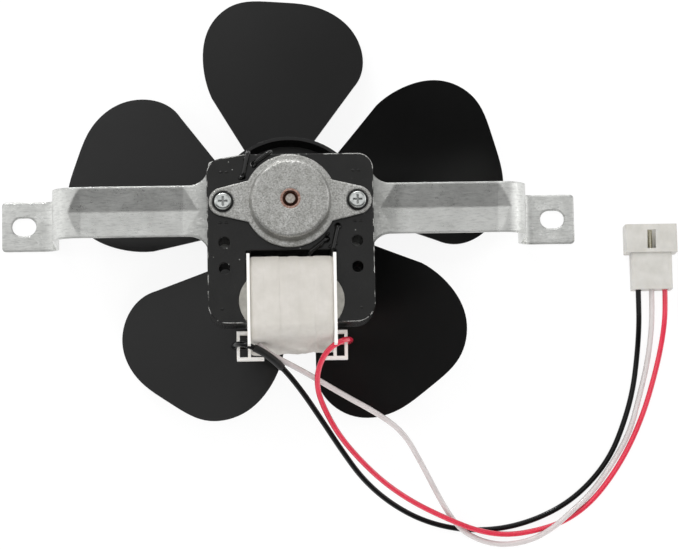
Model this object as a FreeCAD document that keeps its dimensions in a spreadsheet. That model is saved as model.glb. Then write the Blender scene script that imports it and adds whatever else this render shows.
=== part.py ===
import FreeCAD, Part
import math
import os
import Sketcher

# Range hood fan motor: a shaded-pole motor on a hat-shaped bracket, with a five-blade fan inside
# the hat and three leads to a plug. The origin is on the shaft's axis in the plane that the
# bracket's ears are screwed against. X runs along the bracket and Z towards the motor's rear.
doc = FreeCAD.newDocument("range_hood_fan_motor")
sheet = doc.addObject("Spreadsheet::Sheet", "Sizes")

DRIVING_SIZES = {
    # mounting bracket
    "slot_spacing": 273.2,
    "slot_length": 12.4,
    "slot_width": 9.2,
    "ear_end_margin": 11.4,
    "ear_corner": 2.0,
    "bracket_sheet": 1.5,
    "bracket_width": 25.7,
    "bracket_rise": 51.1,
    "web_span": 239.4,
    "shoulder_bend": 13.0,
    "foot_bend": 7.0,
    "crease_depth": 2.6,
    "crease_start": 45.4,
    "crease_run_in": 8.0,
    "crease_run_out": 6.5,
    "crease_end": 111.3,
    "plate_length": 81.0,
    "plate_width": 50.0,
    "plate_corner": 2.0,
    "flare_fillet": 10.0,
    # stator stack and its yoke bar
    "stack_width": 82.0,
    "stack_top": 23.6,
    "stack_bottom": 59.9,
    "stack_thickness": 25.4,
    "stack_top_corner": 7.5,
    "stack_bottom_corner": 9.3,
    "stack_shoulder_drop": 3.0,
    "stack_shoulder_from": 22.8,
    "window_width": 44.6,
    "window_top": 24.2,
    "yoke_height": 21.6,
    "yoke_end_radius": 14.6,
    "yoke_end_reach": 3.6,
    "rotor_bore_radius": 16.3,
    "frame_hole_radius": 2.75,
    "frame_hole_spread": 65.4,
    "frame_hole_depth": 20.0,
    "frame_hole_pitch": 12.8,
    # bearing caps and what they hold
    "cap_flange_radius": 23.0,
    "cap_flange": 2.4,
    "cap_disc_radius": 19.0,
    "cap_disc_base_radius": 20.2,
    "cap_height": 10.0,
    "cap_wall": 2.0,
    "cap_edge_round": 1.5,
    "cap_cavity_radius": 16.2,
    "cap_ear_radius": 7.0,
    "cap_waist_radius": 14.7,
    "bearing_boss_radius": 7.0,
    "bearing_radius": 5.0,
    "bearing_length": 6.3,
    "bearing_mouth_radius": 3.9,
    "bearing_mouth_depth": 3.0,
    "running_clearance": 0.03,
    "felt_radius": 12.5,
    "felt_thickness": 2.8,
    "retainer_radius": 13.5,
    "retainer_sheet": 0.4,
    # through screws, washers and nuts
    "screw_spread": 66.2,
    "screw_radius": 2.05,
    "screw_hole_radius": 2.35,
    "screw_head_radius": 4.3,
    "screw_head_height": 2.2,
    "screw_recess_radius": 5.4,
    "screw_recess_depth": 1.0,
    "washer_radius": 5.1,
    "washer_sheet": 0.7,
    "nut_flats": 8.7,
    "nut_height": 3.2,
    # rotor and shaft
    "air_gap": 0.4,
    "shaft_radius": 2.5,
    "shaft_recess": 0.4,
    "end_ring_height": 2.6,
    "end_ring_width": 4.2,
    "cage_bar_radius": 1.1,
    "cage_bars": 13,
    "thrust_washer_radius": 5.0,
    "thrust_washer_sheet": 0.8,
    # coil and bobbin
    "bobbin_side_gap": 0.4,
    "bobbin_wall": 1.5,
    "bobbin_clearance": 0.15,
    "flange_top": 27.0,
    "flange_bottom": 71.5,
    "flange_reach": 11.5,
    "lead_notch_depth": 4.6,
    "lead_notch_low": 7.4,
    "lead_notch_height": 9.5,
    "winding_inset": 0.6,
    "winding_round": 6.0,
    "winding_bulge": 3.1,
    "terminal_frame_width": 5.5,
    "terminal_frame_top": 62.6,
    "terminal_frame_bottom": 77.0,
    "terminal_frame_bar": 1.5,
    "terminal_frame_low": 6.5,
    "terminal_frame_depth": 6.0,
    "terminal_foot": 8.0,
    # shading rings
    "ring_wire_radius": 1.1,
    "ring_bend": 2.2,
    "ring_slot_radius": 1.45,
    "ring_gap": 0.15,
    "outer_ring_lean_in": 2.0,
    "outer_ring_lean_out": 0.9,
    "outer_ring_slot_height": 12.5,
    "inner_ring_edge_inset": 12.9,
    "inner_ring_slot_inset": 4.7,
    "inner_ring_slot_height": 18.9,
    # fan
    "fan_radius": 112.5,
    "hub_radius": 40.0,
    "hub_taper_width": 0.8,
    "hub_wall": 1.7,
    "hub_floor_height": 15.6,
    "hub_floor": 2.0,
    "hub_rim_height": 33.0,
    "hub_boss_radius": 7.5,
    "hub_boss_height": 27.0,
    "hub_edge_round": 1.5,
    "blade_thickness": 1.8,
    "blade_height": 21.5,
    "blade_pitch_degrees": 18.85,
    "blade_camber_ratio": 0.1305,
    "blade_twist_ratio": 0.261,
    "blade_cone_ratio": 0.0476,
    "blade_dish_ratio": 0.0866,
    "blade_count": 5,
    "fan_turn_degrees": 2.6,
    "clip_width": 2.4,
    "clip_sheet": 0.9,
    "clip_height": 22.0,
    # leads and plug
    "lead_radius": 1.4,
    "plug_centre": 186.65,
    "plug_body_width": 20.9,
    "plug_body_start": 38.2,
    "plug_body_end": 19.2,
    "plug_body_thickness": 10.2,
    "hood_width": 26.7,
    "hood_end": 4.6,
    "hood_thickness": 12.6,
    "hood_wall": 1.5,
    "contact_pitch": 6.9,
    "contact_radius": 1.1,
    "contact_recess": 1.6,
    "lead_entry_depth": 4.0,
    "lead_entry_radius": 1.9,
    "plug_window_width": 4.4,
    "plug_window_length": 9.6,
}
for row, (alias, value) in enumerate(DRIVING_SIZES.items(), start=1):
    sheet.set(f"A{row}", alias)
    sheet.set(f"B{row}", str(value))
    sheet.setAlias(f"B{row}", alias)
doc.recompute()


class Size:
    """A length together with the sheet formula that it comes from."""

    def __init__(self, value, formula):
        self.value = float(value)
        self.formula = formula

    def __float__(self):
        return self.value

    def __add__(self, other):
        return joined(self, "+", other)

    def __radd__(self, other):
        return joined(other, "+", self)

    def __sub__(self, other):
        return joined(self, "-", other)

    def __rsub__(self, other):
        return joined(other, "-", self)

    def __mul__(self, other):
        return joined(self, "*", other)

    def __rmul__(self, other):
        return joined(other, "*", self)

    def __truediv__(self, other):
        return joined(self, "/", other)

    def __neg__(self):
        return joined(0, "-", self)


def as_size(number):
    """A plain number as a Size, so that it can stand in a formula."""
    if isinstance(number, Size):
        return number
    text = f"{abs(number):.6g}"
    return Size(number, f"(0 - {text})" if number < 0 else text)


def joined(left, sign, right):
    """Two sizes joined by + - * or /."""
    left, right = as_size(left), as_size(right)
    results = {
        "+": lambda a, b: a + b,
        "-": lambda a, b: a - b,
        "*": lambda a, b: a * b,
        "/": lambda a, b: a / b,
    }
    return Size(results[sign](left.value, right.value), f"({left.formula} {sign} {right.formula})")


def size(alias):
    """The Size of one cell of the sheet."""
    return Size(sheet.get(alias), f"Sizes.{alias}")


def number(alias):
    """The plain value of one cell of the sheet."""
    return float(sheet.get(alias))


def bind(item, prop, amount):
    """Sets a property and ties it to the sheet."""
    amount = as_size(amount)
    item.setExpression(prop, amount.formula)


# Heights that several pieces share, from the ears' plane upwards.
bracket_top = size("bracket_rise")
stack_front = bracket_top + size("cap_flange")
stack_rear = stack_front + size("stack_thickness")
stack_middle = stack_front + size("stack_thickness") / 2
yoke_middle = -(size("stack_bottom") - size("yoke_height") / 2)
yoke_top = yoke_middle + size("yoke_height") / 2
yoke_length = size("window_width") + size("yoke_end_reach") * 2
bobbin_span = size("window_width") - size("bobbin_side_gap") * 2
plug_middle = size("hood_thickness") / 2

kept = []


def new_body(label):
    """An empty PartDesign body that becomes one piece of the motor."""
    body = doc.addObject("PartDesign::Body", label)
    body.Label = label
    kept.append(body)
    return body


def new_feature(label, shape):
    """A piece whose shape is worked out directly."""
    feature = doc.addObject("Part::Feature", label)
    feature.Label = label
    feature.Shape = shape
    feature.Placement = FreeCAD.Placement()
    kept.append(feature)
    return feature


def new_sketch(body, name, role, offset=0):
    """A sketch on one of the body's own origin planes, lifted along the plane's normal."""
    sketch = body.newObject("Sketcher::SketchObject", f"{body.Name}_{name}")
    plane = next(item for item in body.Origin.OriginFeatures if item.Role == role)
    sketch.AttachmentSupport = (plane, [""])
    sketch.MapMode = "FlatFace"
    bind(sketch, "AttachmentOffset.Base.z", offset)
    return sketch


def hold(sketch, kind, first, amount):
    """One dimension of the sketch, tied to the sheet."""
    amount = as_size(amount)
    index = sketch.addConstraint(Sketcher.Constraint(kind, *first, amount.value))
    sketch.setExpression(f"Constraints[{index}]", amount.formula)


def draw_outline(sketch, corners):
    """Closed outline of straight lines, with each corner held at its two lengths."""
    points = [FreeCAD.Vector(float(x), float(y), 0) for x, y in corners]
    first = sketch.GeometryCount
    count = len(points)
    for index in range(count):
        sketch.addGeometry(Part.LineSegment(points[index], points[(index + 1) % count]), False)
    for index, (x, y) in enumerate(corners):
        line, after = first + index, first + (index + 1) % count
        sketch.addConstraint(Sketcher.Constraint("Coincident", line, 2, after, 1))
        hold(sketch, "DistanceX", (-1, 1, line, 1), x)
        hold(sketch, "DistanceY", (-1, 1, line, 1), y)


def draw_circle(sketch, x, y, radius):
    """Circle held by its centre and its radius."""
    centre = FreeCAD.Vector(float(x), float(y), 0)
    index = sketch.addGeometry(Part.Circle(centre, FreeCAD.Vector(0, 0, 1), float(radius)), False)
    hold(sketch, "DistanceX", (-1, 1, index, 3), x)
    hold(sketch, "DistanceY", (-1, 1, index, 3), y)
    hold(sketch, "Radius", (index,), radius)


def pad(body, sketch, length):
    """Adds material along the sketch's normal."""
    feature = body.newObject("PartDesign::Pad", f"{sketch.Name}_pad")
    feature.Profile = sketch
    bind(feature, "Length", length)
    doc.recompute()
    return feature


def pocket(body, sketch, depth):
    """Cuts against the sketch's normal and makes sure that material went."""
    before = body.Shape.Volume
    feature = body.newObject("PartDesign::Pocket", f"{sketch.Name}_pocket")
    feature.Profile = sketch
    bind(feature, "Length", depth)
    doc.recompute()
    if body.Shape.Volume >= before:
        raise RuntimeError(f"{feature.Name} cuts nothing")
    return feature


def revolve(body, sketch):
    """Turns a sketch on the XZ plane about the Z axis."""
    feature = body.newObject("PartDesign::Revolution", f"{sketch.Name}_turn")
    feature.Profile = sketch
    feature.ReferenceAxis = (sketch, ["V_Axis"])
    feature.Angle = 360
    doc.recompute()
    return feature


def round_edges(body, radius, wanted):
    """Fillets the edges of the body's last feature that the test picks."""
    names = [f"Edge{i}" for i, edge in enumerate(body.Shape.Edges, start=1) if wanted(edge)]
    if not names:
        raise RuntimeError(f"no edge to round on {body.Label}")
    base = body.Tip
    feature = body.newObject("PartDesign::Fillet", f"{body.Name}_round_{len(body.Group)}")
    feature.Base = (base, names)
    bind(feature, "Radius", radius)
    doc.recompute()
    return feature


def turned(label, profile):
    """A piece turned about the motor's axis from a profile of radius and height pairs."""
    body = new_body(label)
    sketch = new_sketch(body, "profile", "XZ_Plane")
    draw_outline(sketch, profile)
    revolve(body, sketch)
    return body


def ring_profile(inner, outer, low, high):
    """Profile of a plain ring."""
    return [(inner, low), (outer, low), (outer, high), (inner, high)]


def near(a, b, slack=0.05):
    """Whether two lengths agree within a small slack."""
    return abs(float(a) - float(b)) < slack


def upright(edge):
    """Whether an edge is a straight line along Z."""
    ends = edge.Vertexes
    return len(ends) == 2 and near(ends[0].X, ends[1].X) and near(ends[0].Y, ends[1].Y)


def vector(x, y, z=0.0):
    """A point from sizes or plain numbers."""
    return FreeCAD.Vector(float(x), float(y), float(z))


# Mounting bracket: galvanised sheet folded to a hat. Its two arms are stiffened by a shallow V
# crease, and its ears have slots for the screws into the hood.
def rounded_wire(corners, to_point):
    """Closed wire through corners of (x, y, radius), with an arc of that radius at each corner."""
    points = [(float(x), float(y)) for x, y, _ in corners]
    radii = [float(radius) for _, _, radius in corners]
    starts, middles, ends = [], [], []
    for index, (x, y) in enumerate(points):
        before, after = points[index - 1], points[(index + 1) % len(points)]
        to_before = FreeCAD.Vector(before[0] - x, before[1] - y, 0).normalize()
        to_after = FreeCAD.Vector(after[0] - x, after[1] - y, 0).normalize()
        half = to_before.getAngle(to_after) / 2
        corner, run = FreeCAD.Vector(x, y, 0), radii[index] / math.tan(half)
        starts.append(corner + to_before * run)
        ends.append(corner + to_after * run)
        inward = (to_before + to_after).normalize()
        middles.append(corner + inward * (radii[index] / math.sin(half) - radii[index]))
    edges = []
    for index, radius in enumerate(radii):
        if radius > 0:
            arc = Part.Arc(to_point(starts[index]), to_point(middles[index]), to_point(ends[index]))
            edges.append(arc.toShape())
        following = starts[(index + 1) % len(points)]
        if (following - ends[index]).Length > 1e-6:
            edges.append(Part.makeLine(to_point(ends[index]), to_point(following)))
    return Part.Wire(edges)


def in_side_view(point):
    """Puts a drawing point on the XZ plane."""
    return FreeCAD.Vector(point.x, 0, point.y)


def in_plan_view(point):
    """Leaves a drawing point on the XY plane."""
    return point


def bend_drop(radius, along):
    """How far a rounded bend has fallen at a distance along from where it starts."""
    return radius - math.sqrt(radius ** 2 - along ** 2)


def hat_block(ear_height, web_half, arm_height, foot_radius, shoulder_radius):
    """Solid block under one face of the folded sheet, as wide as the centre plate."""
    end = number("slot_spacing") / 2 + number("ear_end_margin")
    base = -2 * number("bracket_sheet")
    corners = [(end, base, 0), (end, ear_height, 0), (web_half, ear_height, foot_radius)]
    corners += [(web_half, arm_height, shoulder_radius), (-web_half, arm_height, shoulder_radius)]
    corners += [(-web_half, ear_height, foot_radius), (-end, ear_height, 0), (-end, base, 0)]
    face = Part.Face(rounded_wire(corners, in_side_view))
    face.translate(FreeCAD.Vector(0, -number("plate_width") / 2, 0))
    return face.extrude(FreeCAD.Vector(0, number("plate_width"), 0))


def crease_wedge(side, drop):
    """The V-shaped space over one arm's crease, lowered by drop, with a sloping end each way."""
    half, depth = number("bracket_width") / 2, number("crease_depth")
    top, lift = number("bracket_rise") - drop, number("bracket_sheet") * 2
    start, end = number("crease_start"), number("crease_end")
    run_in, run_out = number("crease_run_in"), number("crease_run_out")
    bend_start = number("web_span") / 2 - number("shoulder_bend")
    end_depth = depth - bend_drop(number("shoulder_bend"), end - bend_start)
    growth = (depth + lift) / depth
    wide, near_floor, far_floor = half * growth, start + run_in, end - run_out
    near_tip = near_floor - run_in * growth
    far_tip = far_floor + run_out * (depth + lift) / end_depth

    def place(x, y, height):
        return FreeCAD.Vector(side * x, y, top + height)

    floor = [place(near_floor, 0, -depth), place(far_floor, 0, -depth)]
    left_rim = [place(near_floor, wide, lift), place(far_floor, wide, lift)]
    right_rim = [place(near_floor, -wide, lift), place(far_floor, -wide, lift)]
    tips = [place(near_tip, 0, lift), place(far_tip, 0, lift)]
    faces = [
        [floor[0], floor[1], left_rim[1], left_rim[0]],
        [floor[1], floor[0], right_rim[0], right_rim[1]],
        [tips[0], left_rim[0], left_rim[1], tips[1], right_rim[1], right_rim[0]],
    ]
    for index in (0, 1):
        faces.append([floor[index], left_rim[index], tips[index]])
        faces.append([floor[index], tips[index], right_rim[index]])
    shell = Part.Shell([Part.Face(Part.makePolygon(face + face[:1])) for face in faces])
    solid = Part.Solid(shell)
    if solid.Volume < 0:
        solid.reverse()
    return solid


def bracket_plan():
    """The bracket's outline from above, as a tall block."""
    end = number("slot_spacing") / 2 + number("ear_end_margin")
    half, plate = number("bracket_width") / 2, number("plate_length") / 2
    plate_half = number("plate_width") / 2
    quarter = [
        (plate, plate_half, number("plate_corner")),
        (plate, half, number("flare_fillet")),
        (end, half, number("ear_corner")),
    ]
    corners = quarter
    corners = corners + [(x, -y, radius) for x, y, radius in reversed(quarter)]
    corners = corners + [(-x, -y, radius) for x, y, radius in quarter]
    corners = corners + [(-x, y, radius) for x, y, radius in reversed(quarter)]
    face = Part.Face(rounded_wire(corners, in_plan_view))
    return face.extrude(FreeCAD.Vector(0, 0, number("bracket_rise") * 1.5))


def upright_pin(x, y, radius):
    """A long pin along Z that cuts a hole through everything on its way."""
    length = number("bracket_rise") * 4
    return Part.makeCylinder(float(radius), length, vector(x, y, -length / 2))


def bracket_holes():
    """Tools for the ear slots, the screw holes and the hole round the front bearing cap."""
    cap_hole = number("cap_disc_base_radius") + number("cap_edge_round") / 3
    slot_radius = number("slot_width") / 2
    reach = (number("slot_length") - number("slot_width")) / 2
    tools = [upright_pin(0, 0, cap_hole)]
    for side in (-1, 1):
        middle = side * number("slot_spacing") / 2
        tools += [upright_pin(middle + shift, 0, slot_radius) for shift in (-reach, reach)]
        bridge = Part.makeBox(2 * reach, 2 * slot_radius, number("bracket_rise"))
        bridge.translate(vector(middle - reach, -slot_radius, -number("bracket_rise") / 2))
        tools.append(bridge)
        tools.append(upright_pin(side * number("screw_spread") / 2, 0, number("screw_hole_radius")))
    return tools


def make_bracket():
    """Folds the outer and inner faces of the sheet and takes one from the other."""
    sheet_thickness = number("bracket_sheet")
    rise, web = number("bracket_rise"), number("web_span") / 2
    foot, shoulder = number("foot_bend"), number("shoulder_bend")
    outer = hat_block(sheet_thickness, web, rise, foot, shoulder)
    inner = hat_block(0, web - sheet_thickness, rise - sheet_thickness, foot + sheet_thickness,
                      shoulder - sheet_thickness)
    for side in (-1, 1):
        outer = outer.cut(crease_wedge(side, 0))
        inner = inner.cut(crease_wedge(side, sheet_thickness))
    folded = outer.cut(inner).common(bracket_plan())
    for tool in bracket_holes():
        folded = folded.cut(tool)
    new_feature("mounting_bracket", folded.removeSplitter().Solids[0])


make_bracket()


def ring_ends(edge_height):
    """Where two shading rings pass the stack: each one's slot, and its place beyond the edge."""
    side, beyond = size("window_width") / 2, edge_height + size("ring_wire_radius") + size("ring_gap")
    outer_slot = (side + size("outer_ring_lean_out"), size("outer_ring_slot_height"))
    inner_slot = (side - size("inner_ring_slot_inset"), size("inner_ring_slot_height"))
    return (
        ("outer", outer_slot, (side - size("outer_ring_lean_in"), beyond)),
        ("inner", inner_slot, (side - size("inner_ring_edge_inset"), beyond)),
    )


# Stator stack: steel laminations riveted to one block. The rotor turns in its bore, the coil
# fills its window, and the yoke bar closes it below.
def make_stator_stack():
    body = new_body("stator_stack")
    half, top, bottom = size("stack_width") / 2, size("stack_top"), -size("stack_bottom")
    drop, shoulder = size("stack_shoulder_drop"), -size("stack_shoulder_from")
    outline = new_sketch(body, "outline", "XY_Plane", stack_front)
    draw_outline(outline, [(-half, bottom), (half, bottom), (half, top), (shoulder, top),
                           (-half, top - drop)])
    pad(body, outline, size("stack_thickness"))
    round_edges(body, size("stack_bottom_corner"), lambda edge: upright(edge)
                and near(edge.Vertexes[0].Y, bottom))
    round_edges(body, size("stack_top_corner"), lambda edge: upright(edge)
                and edge.Vertexes[0].Y > float(top - drop * 1.5)
                and near(abs(edge.Vertexes[0].X), half))
    rear, thickness = stack_rear, size("stack_thickness")
    window = new_sketch(body, "window", "XY_Plane", rear)
    side = size("window_width") / 2
    draw_outline(window, [(-side, bottom * 1.1), (side, bottom * 1.1), (side, -size("window_top")),
                          (-side, -size("window_top"))])
    pocket(body, window, thickness)
    end_centre = yoke_length / 2 - size("yoke_end_radius")
    for name, way in (("left_seat", -1), ("right_seat", 1)):
        seat = new_sketch(body, name, "XY_Plane", rear)
        draw_circle(seat, end_centre * way, yoke_middle, size("yoke_end_radius"))
        pocket(body, seat, thickness)
    holes = new_sketch(body, "holes", "XY_Plane", rear)
    draw_circle(holes, 0, 0, size("rotor_bore_radius"))
    for way in (-1, 1):
        draw_circle(holes, size("screw_spread") / 2 * way, 0, size("screw_hole_radius"))
        for step in (0, 1):
            depth = size("frame_hole_depth") + size("frame_hole_pitch") * step
            draw_circle(holes, size("frame_hole_spread") / 2 * way, -depth, size("frame_hole_radius"))
        for _, (slot_x, slot_y), _ in ring_ends(top):
            draw_circle(holes, slot_x * way, slot_y * -way, size("ring_slot_radius"))
    pocket(body, holes, thickness)


make_stator_stack()


# Yoke bar: a bare steel block with round ends, pressed between the legs of the stack.
def make_yoke_bar():
    centre = yoke_length / 2 - size("yoke_end_radius")
    ends = []
    for way in (-1, 1):
        end = doc.addObject("Part::Cylinder", f"yoke_end_{'left' if way < 0 else 'right'}")
        bind(end, "Radius", size("yoke_end_radius"))
        bind(end, "Height", size("stack_thickness"))
        bind(end, "Placement.Base.x", centre * way)
        bind(end, "Placement.Base.y", yoke_middle)
        bind(end, "Placement.Base.z", stack_front)
        ends.append(end)
    middle = new_block("yoke_middle", (-centre, yoke_top - size("yoke_height"), stack_front),
                       (centre, yoke_top, stack_rear))
    round_bar = doc.addObject("Part::MultiFuse", "yoke_round_bar")
    round_bar.Shapes = ends + [middle]
    height_limit = new_block("yoke_height_limit",
                             (-yoke_length, yoke_top - size("yoke_height"), stack_front),
                             (yoke_length, yoke_top, stack_rear))
    bar = doc.addObject("Part::MultiCommon", "yoke_bar")
    bar.Label = "yoke_bar"
    bar.Shapes = [round_bar, height_limit]
    kept.append(bar)


def new_block(name, low, high):
    """A Part::Box between two corners, tied to the sheet."""
    block = doc.addObject("Part::Box", name)
    for prop, start, end in zip(("Length", "Width", "Height"), low, high):
        bind(block, prop, as_size(end) - as_size(start))
    for letter, start in zip("xyz", low):
        bind(block, f"Placement.Base.{letter}", start)
    return block


make_yoke_bar()


# Bobbin: white nylon, a tube round the yoke bar with a cheek at each end. Outside each cheek is a
# terminal frame that a lead is hooked round, and a notch lets the lead in over the coil.
def make_bobbin():
    gap, wall = size("bobbin_clearance"), size("bobbin_wall")
    end = bobbin_span / 2
    cheek = end - wall
    bar_low, bar_high = yoke_top - size("yoke_height") - gap, yoke_top + gap
    front, rear = stack_front - gap, stack_rear + gap
    solids = [new_block("bobbin_tube", (-cheek, bar_low - wall, front - wall),
                        (cheek, bar_high + wall, rear + wall))]
    cuts = [new_block("bobbin_bore", (-end * 1.1, bar_low, front), (end * 1.1, bar_high, rear))]
    reach = size("flange_reach")
    frame_top, frame_bottom = -size("terminal_frame_top"), -size("terminal_frame_bottom")
    low = stack_front + size("terminal_frame_low")
    high = low + size("terminal_frame_depth")
    bar = size("terminal_frame_bar")
    frame_width = size("terminal_frame_width")
    notch_low = stack_rear - size("lead_notch_low")
    notch_high = notch_low + size("lead_notch_height")
    notch_bottom = -size("flange_bottom")

    def across(part_name, inner, outer, y_range, z_range):
        """A block at one end of the bobbin, from inner to outer along X."""
        x_low, x_high = (inner, outer) if way > 0 else (-outer, -inner)
        return new_block(f"bobbin_{name}_{part_name}", (x_low, y_range[0], z_range[0]),
                         (x_high, y_range[1], z_range[1]))

    for way, name in ((-1, "left"), (1, "right")):
        solids.append(across("cheek", cheek, end, (notch_bottom, -size("flange_top")),
                             (stack_front - reach, stack_rear + reach)))
        solids.append(across("frame", end - wall, end + frame_width, (frame_bottom, frame_top), (low, high)))
        solids.append(across("foot", end - size("terminal_foot"), end,
                             (frame_bottom, frame_bottom + bar), (low, high)))
        cuts.append(across("frame_hole", end, end + frame_width - bar,
                           (frame_bottom + bar, frame_top - bar), (low - bar, high + bar)))
        cuts.append(across("notch", cheek - wall, end + wall,
                           (notch_bottom - wall, notch_bottom + size("lead_notch_depth")),
                           (notch_low, notch_high)))
    whole = doc.addObject("Part::MultiFuse", "bobbin_solids")
    whole.Shapes = solids
    hollows = doc.addObject("Part::MultiFuse", "bobbin_hollows")
    hollows.Shapes = cuts
    bobbin = doc.addObject("Part::Cut", "coil_bobbin")
    bobbin.Label = "coil_bobbin"
    bobbin.Base = whole
    bobbin.Tool = hollows
    kept.append(bobbin)


make_bobbin()


# Winding: copper wire under white cloth tape. The leads' joints under the tape make its lower
# side bulge towards the front.
def make_winding():
    body = new_body("coil_winding")
    inset, reach = size("winding_inset"), size("flange_reach")
    start = -bobbin_span / 2 + size("bobbin_wall")
    length = bobbin_span - size("bobbin_wall") * 2
    rear, front = stack_rear + reach - inset, stack_front - reach + inset
    top, bottom = -size("flange_top") - inset, -size("flange_bottom")
    bulge = size("winding_bulge")
    outline = new_sketch(body, "outline", "YZ_Plane", start)
    draw_outline(outline, [(top, front), (top, rear), (bottom + bulge * 1.5, rear),
                           (bottom - bulge, stack_front), (bottom - bulge * 0.75, front)])
    pad(body, outline, length)
    round_edges(body, size("winding_round"), lambda edge: near(edge.Vertexes[0].Z, edge.Vertexes[1].Z)
                and near(edge.Vertexes[0].Y, edge.Vertexes[1].Y))
    gap, wall = size("bobbin_clearance"), size("bobbin_wall")
    bar_low, bar_high = yoke_top - size("yoke_height") - gap - wall, yoke_top + gap + wall
    tube = new_sketch(body, "tube", "YZ_Plane", start + length)
    draw_outline(tube, [(bar_low, stack_front - gap - wall), (bar_high, stack_front - gap - wall),
                        (bar_high, stack_rear + gap + wall), (bar_low, stack_rear + gap + wall)])
    pocket(body, tube, length)


make_winding()


def tube_along(points, radius, bends):
    """Round tube along straight runs joined by tangent arcs, with the bend radius at each corner."""
    edges = []
    here = points[0]
    for index in range(1, len(points) - 1):
        corner = points[index]
        back, ahead = points[index - 1] - corner, points[index + 1] - corner
        half = back.getAngle(ahead) / 2
        back.normalize()
        ahead.normalize()
        bend = bends[index - 1]
        run = bend / math.tan(half)
        inward = (back + ahead).normalize()
        middle = corner + inward * (bend / math.sin(half) - bend)
        enter, leave = corner + back * run, corner + ahead * run
        edges.append(Part.LineSegment(here, enter).toShape())
        edges.append(Part.Arc(enter, middle, leave).toShape())
        here = leave
    edges.append(Part.LineSegment(here, points[-1]).toShape())
    path = Part.Wire(edges)
    section = Part.Wire(Part.makeCircle(radius, points[0], points[1] - points[0]))
    return path.makePipeShell([section], True, False), path.Length


# Shading rings: closed loops of thick copper wire, lacquered with the stack.
def make_shading_rings():
    wire, bend = number("ring_wire_radius"), number("ring_bend")
    stand_off = wire + number("ring_gap")
    low, high = float(stack_front) - stand_off, float(stack_rear) + stand_off
    for level, turn, edge_height in (("upper", 1, size("stack_top")), ("lower", -1, size("window_top"))):
        for place, slot, edge in ring_ends(edge_height):
            inner = vector(slot[0] * -turn, slot[1] * turn)
            outer = vector(edge[0] * -turn, edge[1] * turn)
            middle = (inner + outer) / 2
            up = FreeCAD.Vector(0, 0, 1)
            corners = [middle + up * low, inner + up * low, inner + up * high, outer + up * high,
                       outer + up * low, middle + up * low]
            ring, _ = tube_along(corners, wire, [bend] * 4)
            new_feature(f"shading_ring_{level}_{place}", ring)


make_shading_rings()


# Bearing caps: two like zinc castings, one on each face of the stack, with the screws through
# their ears. Each is drawn with its seat at height 0 and the second is turned over.
def ear_tangent_corners():
    """Corners of the four-sided web that joins the two ears to the cap's round middle."""
    spread = size("screw_spread") / 2
    slope = (number("cap_waist_radius") - number("cap_ear_radius")) / float(spread)
    rise = math.sqrt(1 - slope * slope)
    upper = []
    for centre, radius in ((spread, size("cap_ear_radius")), (0, size("cap_waist_radius"))):
        upper.append((centre + radius * slope, radius * rise))
    upper += [(-x, y) for x, y in reversed(upper)]
    return upper + [(x, -y) for x, y in reversed(upper)]


def make_cap(label):
    body = new_body(label)
    flange, height = size("cap_flange"), size("cap_height")
    roof = height - size("cap_wall")
    boss_start = height - size("bearing_length")
    profile = new_sketch(body, "profile", "XZ_Plane")
    draw_outline(profile, [
        (size("cap_cavity_radius"), 0),
        (size("cap_flange_radius"), 0),
        (size("cap_flange_radius"), flange),
        (size("cap_disc_base_radius"), flange),
        (size("cap_disc_radius"), height),
        (size("bearing_radius"), height),
        (size("bearing_radius"), boss_start),
        (size("bearing_boss_radius"), boss_start),
        (size("bearing_boss_radius"), roof),
        (size("cap_cavity_radius"), roof),
    ])
    revolve(body, profile)
    web = new_sketch(body, "web", "XY_Plane")
    draw_outline(web, ear_tangent_corners())
    pad(body, web, flange)
    for name, way in (("left_ear", -1), ("right_ear", 1)):
        ear = new_sketch(body, name, "XY_Plane")
        draw_circle(ear, size("screw_spread") / 2 * way, 0, size("cap_ear_radius"))
        pad(body, ear, flange)
    cavity = new_sketch(body, "cavity", "XY_Plane", roof)
    draw_circle(cavity, 0, 0, size("cap_cavity_radius"))
    draw_circle(cavity, 0, 0, size("bearing_boss_radius"))
    pocket(body, cavity, roof)
    mouth = new_sketch(body, "mouth", "XY_Plane", boss_start)
    draw_circle(mouth, 0, 0, size("bearing_boss_radius"))
    pocket(body, mouth, boss_start)
    for name, radius, depth in (("recesses", "screw_recess_radius", size("screw_recess_depth")),
                                ("screw_holes", "screw_hole_radius", flange)):
        sketch = new_sketch(body, name, "XY_Plane", flange)
        for way in (-1, 1):
            draw_circle(sketch, size("screw_spread") / 2 * way, 0, size(radius))
        pocket(body, sketch, depth)
    round_edges(body, size("cap_edge_round"), lambda edge: is_circle(edge, number("cap_disc_radius"))
                and near(edge.Curve.Center.z, height))
    return body


def is_circle(edge, radius):
    """Whether an edge is an arc or circle of this radius."""
    return isinstance(edge.Curve, Part.Circle) and near(edge.Curve.Radius, radius)


def turn_over(body):
    """Puts a piece that was drawn for the rear on the front face of the stack."""
    body.Placement.Rotation = FreeCAD.Rotation(FreeCAD.Vector(1, 0, 0), 180)
    bind(body, "Placement.Base.z", stack_front)


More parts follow.
